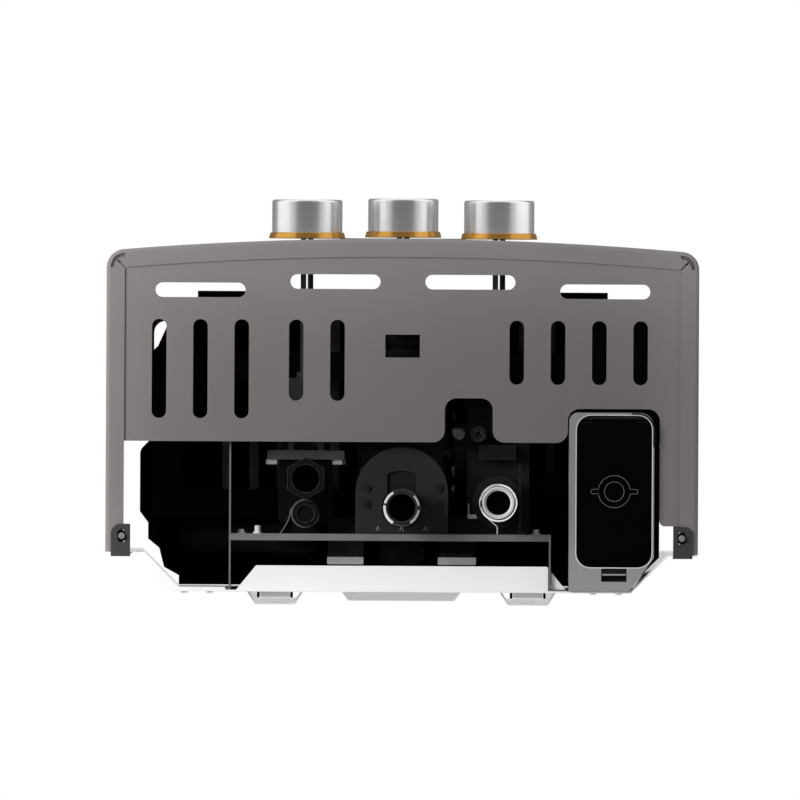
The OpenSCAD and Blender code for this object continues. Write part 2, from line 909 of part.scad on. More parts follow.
module flow_ring() { knob_ring(knob_pitch); }

module flow_stem() { knob_stem(knob_pitch, -water_front); }

// Plan outline of the battery door, grown by d
module door_outline(d = 0) {
    polygon(rect(
        door_x - door_w / 2 - d, door_x + door_w / 2 + d, door_front - d, door_rear + d, door_r + d
    ));
}

module battery_case() {
    slide = latch_l + latch_travel + 2 * clear;
    color("darkgray") difference() {
        slab(-bat_drop, bat_h) polygon(rounded([
            [bat_x, -bat_front, notch_r - 2 * cutout_side], [bat_x1, -bat_front, bat_corner_r],
            [bat_x1, plate_front - bat_cut.y, 0],
            [bat_x1 - bat_cut.x, plate_front, 0], [bat_x, plate_front, 0]
        ]));
        slab(-bat_drop - cut, door_top + clear) door_outline(door_gap);
        block(
            door_x - bay_w / 2, door_x + bay_w / 2, door_mid - bay_l / 2, door_mid + bay_l / 2, 0, bay_h,
            bay_w / 4
        );
        bar_x(door_x - pin_half, door_x + pin_half, hinge_y, hinge_h, pin_r + snug);
        block(
            door_x - latch_w / 2 - clear, door_x + latch_w / 2 + clear, latch_y - cut, latch_y + slide,
            -bat_drop - cut, latch_top + clear
        );
        block(
            door_x - latch_w / 2 - latch_wing - clear, door_x + latch_w / 2 + latch_wing + clear,
            latch_y - clear, latch_y + slide, -clear, latch_top + clear
        );
    }
}

module battery_door() {
    color("black") difference() {
        union() {
            slab(-bat_drop, door_top) intersection() {
                door_outline();
                union() {
                    translate([door_x - hinge_half, hinge_y]) square([2 * hinge_half, door_l]);
                    translate([door_x - door_w, hinge_y + door_relief]) square([2 * door_w, door_l]);
                }
            }
            bar_x(door_x - hinge_half, door_x + hinge_half, hinge_y, hinge_h, door_t / 2);
        }
        bar_x(door_x - door_w, door_x + door_w, hinge_y, hinge_h, pin_r + run);
        bar_z(door_x, door_mid, -bat_drop - cut, door_top + cut, lock_hub_r + run);
        bar_z(door_x, door_mid, door_top - lock_clip_t - clear, door_top + cut, lock_clip_r + clear);
    }
}

module battery_hinge_pin() {
    color("silver") bar_x(door_x - pin_half, door_x + pin_half, hinge_y, hinge_h, pin_r);
}

module door_lock() {
    low = -bat_drop - lock_proud;
    seat = -bat_drop - run;
    ear = lock_d / 2 + lock_ear.x;
    color("black") {
        difference() {
            union() {
                bar_z(door_x, door_mid, low, seat, lock_d / 2);
                block(
                    door_x - ear, door_x + ear, door_mid - lock_ear.y / 2, door_mid + lock_ear.y / 2,
                    low, seat, lock_ear.y / 2 - run
                );
            }
            bar_z(door_x, door_mid, low - cut, low + lock_proud / 2, lock_hub_r);
        }
        bar_z(door_x, door_mid, low + lock_proud / 2, door_top - clear, lock_hub_r);
        bar_z(door_x, door_mid, door_top - lock_clip_t, door_top - clear, lock_clip_r);
    }
}

module door_latch() {
    low = -bat_drop + clear;
    color("dimgray") difference() {
        union() {
            block(door_x - latch_w / 2, door_x + latch_w / 2, latch_y, latch_y + latch_l, low, latch_top);
            block(
                door_x - latch_w / 2 - latch_wing, door_x + latch_w / 2 + latch_wing,
                latch_y, latch_y + latch_l, 0, latch_top
            );
        }
        for (i = [1 : 3]) {
            y = latch_y + latch_l * i / 4;
            block(door_x - latch_w, door_x + latch_w, y - clear, y + clear, low - cut, low + clear);
        }
    }
}

// Places of the two cells
module at_cells() {
    for (i = [-0.5, 0.5]) translate([door_x, door_mid + i * cell_pitch, 0]) children();
}

module battery_cells() {
    cap_r = cell_d / 8;
    cap_l = 2;
    color("seagreen") at_cells() {
        bar_z(0, 0, cell_h, cell_h + cell_l - cap_l, cell_d / 2);
        bar_z(0, 0, cell_h, cell_h + cell_l, cap_r);
    }
}

module battery_contacts() {
    spring_r = cell_d / 5;
    color("silver") at_cells() {
        bar_z(0, 0, cell_h + cell_l, bay_h, spring_r / 2);
        bar_z(0, 0, bay_h - sheet, bay_h, spring_r);
    }
}

module igniter_box() {
    x1 = bat_x1 + cutout_far + igniter_lap;
    x0 = x1 - igniter_w;
    front = -bat_front - cutout_front - igniter_over;
    rear = plate_front - clear;
    corner = wing_x - wing_set - igniter_back;
    color("dimgray") slab(bat_h, cold_run_h - pipe_r - igniter_gap) polygon(rounded([
        [x0, front, cutout_far], [x1, front, cutout_far],
        [x1, rear - igniter_back - (x1 - corner), 0], [corner - igniter_back, rear, 0], [x0, rear, 0]
    ]));
}

module bridge_bracket() {
    t = sheet;
    top = bridge_low + bridge_h;
    color("darkgray") {
        block(-bridge_left, bridge_right, -bridge_y, t - bridge_y, bridge_low, top);
        block(-bridge_left, bridge_right, -bridge_y, bridge_flange - bridge_y, bridge_low, bridge_low + t);
        block(-bridge_left, t - bridge_left, -bridge_wing, plate_front, bridge_low, top);
        block(bridge_right - t, bridge_right, -bridge_y, plate_front, return_h - bridge_dip, top);
        block(-bridge_left - bridge_foot_l, t - bridge_left, plate_front - t, plate_front, bridge_low, top);
        block(bridge_right - t, return_half, plate_front - t, plate_front, bridge_low, top);
        block(
            bridge_right - t, return_half, plate_front - t, plate_front,
            return_h - bridge_dip, return_h - clear
        );
    }
}

// Places of the four screws of the inlet plate
module at_plate_screws() {
    for (x = [-plate_hole.x, plate_hole.x], y = [plate_hole.y, plate_hole.z])
        translate([x, -gas_y - y, 0]) children();
}

module inlet_plate() {
    r = plate_w / 2;
    color("dimgray") difference() {
        union() {
            slab(plate_low, plate_top) {
                intersection() {
                    translate([0, r - plate_front_y]) circle(r = r);
                    translate([-r, -plate_front_y]) square([plate_w, r]);
                }
                polygon(rect(-r, r, r - plate_front_y, -bridge_y));
            }
            block(-r, r, -bridge_y - plate_t, -bridge_y, plate_low, plate_low + plate_bend_h);
        }
        bar_z(0, -gas_y, plate_low - cut, plate_top + cut, thread_d / 2 + keyhole_gap);
        slab(plate_low - cut, plate_top + cut) intersection() {
            translate([-keyhole_w / 2, -gas_y - keyhole_l]) square([keyhole_w, keyhole_l]);
            translate([0, -gas_y]) circle(r = keyhole_l);
        }
        at_plate_screws() bar_z(0, 0, plate_low - cut, plate_top + cut, plate_hole_r + run);
    }
}

module plate_screws() {
    head = [2.2, 1.4];
    color("black") at_plate_screws() {
        bar_z(0, 0, plate_low - head.y, plate_low, head.x);
        bar_z(0, 0, plate_low - head.y / 2, plate_top + gas_foot.z / 2, plate_hole_r);
    }
}

// Threaded pipe stub that hangs below the case from a socket at height h
module nipple(x, y, h) {
    color("silver") difference() {
        union() {
            bar_z(x, -y, -nipple_drop, thread_l - nipple_drop, thread_d / 2);
            bar_z(x, -y, -nipple_drop, h + nipple_spigot, spigot_bore_r);
        }
        bar_z(x, -y, -nipple_drop - cut, h + nipple_spigot + cut, nipple_bore / 2);
    }
}

// Socket in a valve that takes the upper end of a nipple
module nipple_socket(x, y, h) {
    bar_z(x, -y, h - cut, h + nipple_spigot + clear, spigot_bore_r + snug);
}

module gas_nipple() { nipple(0, gas_y, plate_top); }

module gas_valve_body() {
    half = gas_body_w / 2;
    color("dimgray") difference() {
        union() {
            block(
                -gas_foot.x / 2, gas_foot.x / 2, -gas_y - gas_foot.y, gas_foot.z - gas_y,
                plate_top, gas_foot_h + cut, cast_r
            );
            block(-half, half, -gas_front, gas_foot.z - gas_y, gas_foot_h, gas_top, 2 * cast_r);
            bar_y(0, -gas_front - gas_bonnet_l, -gas_front + cut, knob_h, gas_bonnet_r);
            block(
                -gas_boss[0], gas_boss[0], gas_foot.z - gas_y - 2 * cast_r, -gas_boss[1],
                gas_boss[2], gas_top, gas_boss[3]
            );
        }
        nipple_socket(0, gas_y, plate_top);
        stem_bore(0, -gas_front - gas_bonnet_l);
        bar_x(half - rod_grip - rod_travel - clear, half + cut, -rod_y, rod_h, rod_r + run);
        at_plate_screws()
            bar_z(0, 0, plate_top - cut, plate_top + gas_foot.z / 2 + clear, plate_hole_r + snug);
    }
}

module solenoid_valve() {
    rear = -gas_front;
    color("black") {
        bar_y(0, rear - solenoid_l, rear - solenoid_neck, solenoid_h, solenoid_r);
        bar_y(0, rear - solenoid_neck - cut, rear, solenoid_h, solenoid_r - solenoid_tip);
        bar_y(0, rear - solenoid_l - solenoid_tip, rear - solenoid_l + cut, solenoid_h, solenoid_r / 3);
    }
}

module gas_riser() {
    color("silver") {
        bar_z(0, -riser_y, gas_top, gas_top + riser_l, riser_r);
        block(
            -riser_r - riser_flange.x, riser_r + riser_flange.x, -riser_y - riser_r, riser_r - riser_y,
            gas_top, gas_top + riser_flange.y, cast_r
        );
    }
}

module burner_manifold() {
    low = gas_top + riser_l;
    color("silver") block(
        -manifold_w / 2, manifold_w / 2, -riser_y - manifold_d / 2, manifold_d / 2 - riser_y,
        low, low + manifold_d, cast_r
    );
}

// Places of the burner blades and their jets, from the left
function blade_x(i) = (i - (blade_count - 1) / 2) * (manifold_w - manifold_d) / (blade_count - 1);

module burner_jets() {
    low = gas_top + riser_l + manifold_d;
    color("goldenrod") for (i = [0 : blade_count - 1]) bar_z(blade_x(i), -riser_y, low, low + jet_l, jet_r);
}

// Upright sheet box round the fire, between two heights
module fire_box(h0, h1) {
    half = chamber_w / 2;
    slab(h0, h1) difference() {
        polygon(rect(-half, half, -chamber_y - chamber_d, -chamber_y));
        polygon(rect(sheet - half, half - sheet, sheet - chamber_y - chamber_d, -chamber_y - sheet));
    }
}

module burner_tray() {
    half = chamber_w / 2;
    back = -chamber_y;
    front = -chamber_y - chamber_d;
    color("dimgray") {
        fire_box(burner_h, chamber_low);
        slab(burner_h, burner_h + sheet) {
            for (side = [0, 1]) mirror([side, 0])
                polygon(rect(half - sheet, half + tray_flange, -tray_side_front, back + tray_strip));
            polygon(rect(-half, half, back - tray_ledge, back + tray_strip));
            polygon(rect(-half, half, front, front + tray_ledge));
        }
    }
}

module burner_blades() {
    color("silver") for (i = [0 : blade_count - 1])
        block(
            blade_x(i) - blade_t / 2, blade_x(i) + blade_t / 2, blade_end + sheet - chamber_y - chamber_d,
            -chamber_y - sheet - blade_end, burner_h + sheet, chamber_low - clear
        );
}

module ignition_electrodes() {
    front = -chamber_y - chamber_d;
    h = chamber_low + 3 * electrode_r;
    color("white") for (x = [-electrode_x, electrode_x]) {
        bar_y(x, front - electrode_l / 3, front + electrode_l, h, electrode_r);
        bar_y(x, front + electrode_l - cut, front + electrode_l + electrode_tip_l, h, electrode_tip_r);
    }
}

module water_valve_body() {
    color("gray") difference() {
        union() {
            block(water_left, water_right, -water_front, -bridge_y, water_low, water_top, cast_r);
            bar_z(cold_x, -cold_y, boss_h, water_low + cut, boss_r);
            block(
                valve_foot[0], valve_foot[1], -valve_foot[3], -valve_foot[2], valve_foot[4], water_low + cut
            );
        }
        nipple_socket(cold_x, cold_y, boss_h);
        stem_bore(cold_x, -water_front);
        bar_x(water_left - cut, water_left + cover_t, -rod_y, rod_h, rod_r + run);
        bar_z(drain_x, -drain_y, water_low - cut, water_low + drain_shank + clear, drain_r * 0.6 + run);
    }
}

module diaphragm_cover() {
    x0 = water_left - cover_t;
    color("silver") difference() {
        union() {
            bar_x(x0, water_left, -rod_y, rod_h, diaphragm_d / 2);
            block(x0, water_left, -drain_y - lug_half, lug_half - drain_y, lug_low, rod_h);
        }
        bar_x(x0 - cut, water_left + cut, -rod_y, rod_h, rod_r + run);
        bar_z(bleed_x, -drain_y, lug_low - cut, lug_low + 2 * bleed_l + clear, bleed_r / 2 + snug);
    }
}

module linkage_rod() {
    color("silver") {
        bar_x(gas_body_w / 2 - rod_grip, water_left + cover_t - clear, -rod_y, rod_h, rod_r);
        block(arm_x, arm_x + arm_t, -rod_y - arm_w / 2, arm_w / 2 - rod_y, rod_h - arm_w, switch_h + arm_w);
    }
}

module microswitch() {
    color("black") difference() {
        block(
            switch_x - switch_size.x, switch_x, -rod_y - switch_size.y / 2, switch_size.y / 2 - rod_y,
            gas_top, gas_top + switch_size.z, cut
        );
        bar_x(
            switch_x - plunger_grip - rod_travel - clear, switch_x + cut, -rod_y, switch_h, plunger_r + run
        );
    }
}

module microswitch_plunger() {
    color("red") bar_x(switch_x - plunger_grip, arm_x - run, -rod_y, switch_h, plunger_r);
}

module cold_nipple() { nipple(cold_x, cold_y, boss_h); }

module drain_plug() {
    top = water_low - run;
    color("dimgray") difference() {
        union() {
            bar_z(drain_x, -drain_y, drain_low, top, drain_r);
            bar_z(drain_x, -drain_y, top - cut, water_low + drain_shank, drain_r * 0.6);
        }
        block(
            drain_x - drain_r, drain_x + drain_r, -drain_y - 2 * clear, 2 * clear - drain_y,
            drain_low - cut, drain_low + 2 * cut
        );
    }
}

module bleed_screw() {
    color("silver") difference() {
        union() {
            bar_z(bleed_x, -drain_y, lug_low - bleed_l, lug_low, bleed_r);
            bar_z(bleed_x, -drain_y, lug_low - cut, lug_low + 2 * bleed_l, bleed_r / 2);
        }
        block(
            bleed_x - bleed_r, bleed_x + bleed_r, -drain_y - clear, clear - drain_y,
            lug_low - bleed_l - cut, lug_low - bleed_l / 2
        );
    }
}

module valve_bracket() {
    x0 = bracket_x;
    color("gray") {
        block(x0, x0 + bracket_t, -bracket_front, -bridge_y, bridge_low, boss_h);
        block(x0, x0 + 3 * bracket_t, -bridge_y - bracket_t, -bridge_y, bridge_low, boss_h);
    }
}

module hot_outlet_body() {
    color("gray") difference() {
        union() {
            block(
                hot_x - outlet_half, hot_x + outlet_half, -outlet_front, -outlet_rear,
                water_low, outlet_top, cast_r
            );
            block(
                hot_x - outlet_half / 2, hot_x + outlet_half / 2, -outlet_rear - cut, -bridge_y,
                water_low, bridge_low + bridge_h - clear
            );
        }
        bar_z(hot_x, -hot_y, water_low - cut, water_low + nipple_spigot, hot_bore / 2);
    }
}

module hot_outlet_nut() {
    color("black") difference() {
        union() {
            up(nut_low) translate([hot_x, -hot_y, 0]) rotate(30)
                cylinder(d = hot_hex / cos(30), h = flange_low - cut - nut_low, $fn = 6);
            bar_z(hot_x, -hot_y, nut_low + cut, water_low, hot_hex / 2 - clear);
        }
        bar_z(hot_x, -hot_y, nut_low - cut, water_low + cut, hot_bore / 2);
    }
}

module port_cap() {
    color("gray") difference() {
        bar_z(hot_x, -port_y, port_low, water_low, port_r);
        bar_z(hot_x, -port_y, port_low - cut, port_low + nipple_wall, port_r - nipple_wall);
    }
}

module outlet_flange() {
    front = -outlet_front - flange_t;
    color("darkgray") {
        block(hot_x - flange_half, hot_x + flange_half, front, -outlet_front, flange_low, flange_top);
        for (x = [-1, 1], h = [flange_low + flange_screw.y, flange_top - flange_screw.y])
            bar_y(
                hot_x + x * flange_screw.x, -outlet_front - cut, flange_screw_r - outlet_front,
                h, flange_screw_r
            );
    }
}

// Front face of the mixing valve
mix_front = -outlet_front - flange_t - mix_l;

module mixing_valve() {
    rear = -outlet_front - flange_t;
    color("darkgray") difference() {
        union() {
            block(hot_x - mix_half, hot_x + mix_half, mix_front, rear, mix_low, mix_top);
            for (x = [-mix_rib.y, mix_rib.y])
                block(
                    hot_x + x - mix_rib.x, hot_x + x + mix_rib.x, rear - mix_rib.z, rear,
                    mix_rib[3], mix_low + cut
                );
        }
        stem_bore(hot_x, mix_front);
    }
}

// Round tube along straight runs, with an elbow at each turn
module tube_route(points) {
    for (i = [0 : len(points) - 2]) {
        run_v = points[i + 1] - points[i];
        up(0) translate(points[i])
            rotate([0, acos(run_v.z / norm(run_v)), atan2(run_v.y, run_v.x)])
                cylinder(r = pipe_r, h = norm(run_v));
    }
    for (i = [1 : len(points) - 2]) up(0) translate(points[i]) sphere(r = pipe_elbow_r);
}

module hot_water_pipe() {
    back = -hot_back_y;
    tube_y = -tube_mid_y + tube_pitch;
    color("peru") tube_route([
        [hot_x, -outlet_rear, hot_run_h],
        [hot_x, back, hot_run_h],
        [-hot_riser_x, back, hot_run_h],
        [-hot_riser_x, back, tube_h],
        [-side_x, back, tube_h],
        [-side_x, tube_y, tube_h],
        [-tube_end, tube_y, tube_h]
    ]);
}

module cold_water_pipe() {
    tube_y = -tube_mid_y - tube_pitch;
    color("peru") tube_route([
        [water_right, -cold_run_y, cold_run_h],
        [side_x, -cold_run_y, cold_run_h],
        [side_x, tube_y, cold_run_h],
        [side_x, tube_y, tube_h],
        [tube_end, tube_y, tube_h]
    ]);
}

module chamber_brackets() {
    h = chamber_low + bracket_arm_h;
    x0 = bracket_leg[0];
    x1 = bracket_leg[1];
    y = -bracket_leg[2];
    color("silver") for (side = [0, 1]) mirror([side, 0]) {
        block(x0, x1, -chamber_y, plate_front, h, h + sheet);
        block(x0, x1, y, y + sheet, h - bracket_drop, h + sheet);
        block(x0, x1, y, y + bracket_leg[3], h - bracket_drop, h - bracket_drop + sheet);
    }
}

module combustion_chamber() {
    front = -chamber_y - chamber_d;
    color("peru") {
        difference() {
            fire_box(chamber_low, fin_low);
            for (x = [-electrode_x, electrode_x])
                bar_y(x, front - cut, front + sheet + cut, chamber_low + 3 * electrode_r, electrode_r + run);
        }
        bar_y(overheat[0], front - overheat[2], front + sheet / 2, fin_low - overheat[3], overheat[1]);
    }
}

module heat_exchanger() {
    half = chamber_w / 2;
    step = (chamber_w - 2 * fin_margin) / (fin_count - 1);
    front = -chamber_y - chamber_d;
    color("peru") {
        fire_box(fin_low, hood_low);
        for (i = [0 : fin_count - 1])
            block(
                fin_margin - half + i * step - fin_t / 2, fin_margin - half + i * step + fin_t / 2,
                front + sheet / 2, -chamber_y - sheet / 2, fin_low, hood_low
            );
        for (i = [-1 : 1]) bar_x(-tube_end, tube_end, -tube_mid_y + i * tube_pitch, tube_h, tube_r);
        for (side = [-1, 1])
            up(tube_h) translate([side * tube_end, side * tube_pitch / 2 - tube_mid_y, 0])
                rotate(side > 0 ? -90 : 90) rotate_extrude(angle = 180)
                    translate([tube_pitch / 2, 0]) circle(r = tube_r);
    }
}

// Plan outline of the flue hood, set in by d
module hood_outline(d = 0) {
    x = hood_half - d;
    y = -hood_rear - d;
    front = d - hood_front;
    polygon(rounded(both_sides([
        [x - hood_foot.x, y, 0],
        [x - hood_foot.x, y - hood_foot.y, 0],
        [x - hood_calf.x, y - hood_calf.y, 0],
        [x - hood_shin.x, y - hood_shin.y, 0],
        [x - hood_hip.x, y - hood_hip.y, 0],
        [x - hood_heel.x, y - hood_heel.y, 0],
        [x, y - hood_knee, 0],
        [x, front + hood_waist.y, hood_r],
        [x - hood_waist.x, front + hood_waist.y - hood_waist.x, 0],
        [x - hood_temple.x, front + hood_temple.y, 0],
        [x - hood_brow.x, front + hood_brow.y, 0],
        [x - hood_cheek.x, front + hood_cheek.y, 0],
        [x - hood_nose.x, front + hood_nose.y, 0],
        [x - hood_nose.x, front, 0]
    ])));
}

module flue_hood() {
    mouth = chamber_w / 2 - hood_mouth;
    baffle = flue_r + baffle_lap;
    baffle_h = hood_top - baffle_drop;
    color("gray") block(-baffle, baffle, -flue_y - baffle, baffle - flue_y, baffle_h, baffle_h + sheet);
    color("gray") for (x = [-baffle, baffle - sheet])
        block(x, x + sheet, -flue_y - baffle, baffle - flue_y, baffle_h, hood_top - sheet / 2);
    color("gray") difference() {
        slab(hood_low, hood_top) hood_outline();
        slab(hood_low + sheet, hood_top - sheet) hood_outline(sheet);
        block(
            -mouth, mouth, hood_mouth - chamber_y - chamber_d, -chamber_y - hood_mouth,
            hood_low - cut, hood_low + 2 * sheet
        );
        bar_z(0, -flue_y, hood_top - 2 * sheet, hood_top + cut, flue_r - sheet);
    }
}

module flue_collar() {
    color("silver") difference() {
        union() {
            bar_z(0, -flue_y, hood_top, case_h + flue_rise, flue_r);
            bar_z(0, -flue_y, hood_top, hood_top + sheet, flue_r + collar_flange);
        }
        bar_z(0, -flue_y, hood_top - cut, case_h + flue_rise + cut, flue_r - sheet);
    }
}

front_cover();
bottom_panel();
top_panel();
back_plate();
wall_rails();
hang_bracket();
corner_tabs();
cover_screws();
display_lens();
display_housing();
temperature_knob();
temperature_ring();
temperature_stem();
gas_knob();
gas_ring();
gas_stem();
flow_knob();
flow_ring();
flow_stem();
battery_case();
battery_door();
battery_hinge_pin();
door_lock();
door_latch();
battery_cells();
battery_contacts();
igniter_box();
bridge_bracket();
inlet_plate();
plate_screws();
gas_nipple();
gas_valve_body();
solenoid_valve();
gas_riser();
burner_manifold();
burner_jets();
burner_tray();
burner_blades();
ignition_electrodes();
water_valve_body();
diaphragm_cover();
linkage_rod();
microswitch();
microswitch_plunger();
cold_nipple();
drain_plug();
bleed_screw();
valve_bracket();
hot_outlet_body();
hot_outlet_nut();
port_cap();
outlet_flange();
mixing_valve();
hot_water_pipe();
cold_water_pipe();
chamber_brackets();
combustion_chamber();
heat_exchanger();
flue_hood();
flue_collar();
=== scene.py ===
"""Looks of a wall-hung tankless gas water heater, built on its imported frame.

The camera looks straight up at the underside, with the front of the case at the top of the picture.
Lengths are in metres in the part's own frame: X to the right, Y into the wall and Z up.
"""

import json
import math

import bmesh
import bpy
from mathutils import Matrix, Vector


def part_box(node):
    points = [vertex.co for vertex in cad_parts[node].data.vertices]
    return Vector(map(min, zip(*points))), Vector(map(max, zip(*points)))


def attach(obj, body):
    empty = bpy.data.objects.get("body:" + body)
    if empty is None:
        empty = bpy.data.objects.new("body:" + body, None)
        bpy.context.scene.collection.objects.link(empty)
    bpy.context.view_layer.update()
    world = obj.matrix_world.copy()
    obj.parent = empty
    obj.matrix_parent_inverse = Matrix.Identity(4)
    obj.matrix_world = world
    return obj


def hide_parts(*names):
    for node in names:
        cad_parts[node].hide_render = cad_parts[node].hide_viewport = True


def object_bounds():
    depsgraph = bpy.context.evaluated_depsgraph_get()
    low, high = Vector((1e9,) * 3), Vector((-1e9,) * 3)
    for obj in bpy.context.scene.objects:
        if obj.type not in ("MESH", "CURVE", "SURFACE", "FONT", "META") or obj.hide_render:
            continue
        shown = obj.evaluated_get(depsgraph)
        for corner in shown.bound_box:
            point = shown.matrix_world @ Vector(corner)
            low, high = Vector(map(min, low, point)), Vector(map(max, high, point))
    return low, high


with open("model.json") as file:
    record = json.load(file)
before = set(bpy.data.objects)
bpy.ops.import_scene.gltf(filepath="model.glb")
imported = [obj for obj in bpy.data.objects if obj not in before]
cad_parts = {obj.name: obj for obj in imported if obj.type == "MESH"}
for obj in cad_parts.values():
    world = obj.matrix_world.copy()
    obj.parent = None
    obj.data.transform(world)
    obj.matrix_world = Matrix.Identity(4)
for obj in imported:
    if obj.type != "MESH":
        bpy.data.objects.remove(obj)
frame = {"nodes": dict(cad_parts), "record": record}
cad_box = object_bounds()
nodes = frame["nodes"]

MM = 0.001
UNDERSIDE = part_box("front_cover")[0].z
LOWEST = cad_box[0].z

# Picture
PICTURE_WIDTH = 440 * MM
PICTURE_MIDDLE = (-1.3 * MM, -112.8 * MM)
PICTURE_TILT = math.radians(0.3)
LENS = 1600
SENSOR = 36

# Softened edges of sheet, cast, moulded and turned pieces
SHEET_EDGE = 0.25 * MM
CAST_EDGE = 1.2 * MM
MOULDED_EDGE = 0.7 * MM
TURNED_EDGE = 0.5 * MM
SHARP_ANGLE = math.radians(35)

# Parts of a noise's range that the masks spread from none to all
CLOUD_RANGE = (0.35, 0.65)
GRAIN_RANGE = (0.3, 0.7)
SPECK_RANGE = (0.4, 0.62)
# Likeness of the rounded and the true normal at which the edge mask begins, and is full: rubbed wear on
# paint, a painted highlight on castings
EDGE_MASK_RANGE = (0.98, 0.8)


# Shader groups


def shader_group(name, inputs, outputs):
    """An empty node group with the named sockets, and its two end nodes."""
    group = bpy.data.node_groups.new(name, "ShaderNodeTree")
    for label, kind, value in inputs:
        socket = group.interface.new_socket(label, in_out="INPUT", socket_type=kind)
        socket.default_value = value
    for label, kind in outputs:
        group.interface.new_socket(label, in_out="OUTPUT", socket_type=kind)
    return group, group.nodes.new("NodeGroupInput"), group.nodes.new("NodeGroupOutput")


def add_node(tree, kind, **settings):
    """A new node, with its settings and the plain values of its input sockets."""
    node = tree.nodes.new(kind)
    for name, value in settings.items():
        if name in node.bl_rna.properties:
            setattr(node, name, value)
        else:
            node.inputs[name.replace("_", " ")].default_value = value
    return node


def spread_range(tree, part, out=(0.0, 1.0)):
    """Node that spreads a part of a range over another range."""
    spread = add_node(tree, "ShaderNodeMapRange")
    for label, value in zip(("From Min", "From Max", "To Min", "To Max"), (*part, *out)):
        spread.inputs[label].default_value = value
    return spread


def make_tone_drift():
    """Colour that drifts between two tones in soft clouds."""
    group, start, end = shader_group(
        "tone_drift",
        [
            ("Tone", "NodeSocketColor", (0.5, 0.5, 0.5, 1)),
            ("Other Tone", "NodeSocketColor", (0.4, 0.4, 0.4, 1)),
            ("Scale", "NodeSocketFloat", 20.0),
        ],
        [("Color", "NodeSocketColor")],
    )
    place = add_node(group, "ShaderNodeTexCoord")
    clouds = add_node(group, "ShaderNodeTexNoise", Detail=4.0, Roughness=0.6)
    spread = spread_range(group, CLOUD_RANGE)
    mix = add_node(group, "ShaderNodeMix", data_type="RGBA")
    join = group.links.new
    join(place.outputs["Object"], clouds.inputs["Vector"])
    join(start.outputs["Scale"], clouds.inputs["Scale"])
    join(clouds.outputs["Fac"], spread.inputs["Value"])
    join(spread.outputs["Result"], mix.inputs["Factor"])
    join(start.outputs["Tone"], mix.inputs[6])
    join(start.outputs["Other Tone"], mix.inputs[7])
    join(mix.outputs[2], end.inputs["Color"])
    return group


def make_skin_grain():
    """Height of a fine skin: paint peel, mould texture or sand-cast grain, by its scale."""
    group, start, end = shader_group(
        "skin_grain",
        [("Scale", "NodeSocketFloat", 900.0), ("Lumps", "NodeSocketFloat", 0.4)],
        [("Height", "NodeSocketFloat"), ("Mask", "NodeSocketFloat")],
    )
    place = add_node(group, "ShaderNodeTexCoord")
    grain = add_node(group, "ShaderNodeTexNoise", Detail=3.0)
    lumps = add_node(group, "ShaderNodeTexVoronoi", feature="SMOOTH_F1")
    mix = add_node(group, "ShaderNodeMix", data_type="FLOAT")
    join = group.links.new
    for texture in (grain, lumps):
        join(place.outputs["Object"], texture.inputs["Vector"])
        join(start.outputs["Scale"], texture.inputs["Scale"])
    join(start.outputs["Lumps"], mix.inputs["Factor"])
    join(grain.outputs["Fac"], mix.inputs[2])
    join(lumps.outputs["Distance"], mix.inputs[3])
    join(mix.outputs[0], end.inputs["Height"])
    join(grain.outputs["Fac"], end.inputs["Mask"])
    return group


def make_edge_wear_and_highlight():
    """Mask of outer edges, broken up by small specks: rubbed wear on painted sheet, and a painted highlight
    on castings.
    """
    group, start, end = shader_group(
        "edge_wear_and_highlight",
        [("Radius", "NodeSocketFloat", 0.0008), ("Specks", "NodeSocketFloat", 600.0)],
        [("Mask", "NodeSocketFloat")],
    )
    place = add_node(group, "ShaderNodeTexCoord")
    rounded = add_node(group, "ShaderNodeBevel", samples=4)
    facing = add_node(group, "ShaderNodeNewGeometry")
    match = add_node(group, "ShaderNodeVectorMath", operation="DOT_PRODUCT")
    edge_band = spread_range(group, EDGE_MASK_RANGE)
    specks = add_node(group, "ShaderNodeTexNoise", Detail=4.0)
    broken = spread_range(group, SPECK_RANGE)
    both = add_node(group, "ShaderNodeMath", operation="MULTIPLY")
    join = group.links.new
    join(start.outputs["Radius"], rounded.inputs["Radius"])
    join(rounded.outputs["Normal"], match.inputs[0])
    join(facing.outputs["Normal"], match.inputs[1])
    join(match.outputs["Value"], edge_band.inputs["Value"])
    join(place.outputs["Object"], specks.inputs["Vector"])
    join(start.outputs["Specks"], specks.inputs["Scale"])
    join(specks.outputs["Fac"], broken.inputs["Value"])
    join(edge_band.outputs["Result"], both.inputs[0])
    join(broken.outputs["Result"], both.inputs[1])
    join(both.outputs["Value"], end.inputs["Mask"])
    return group


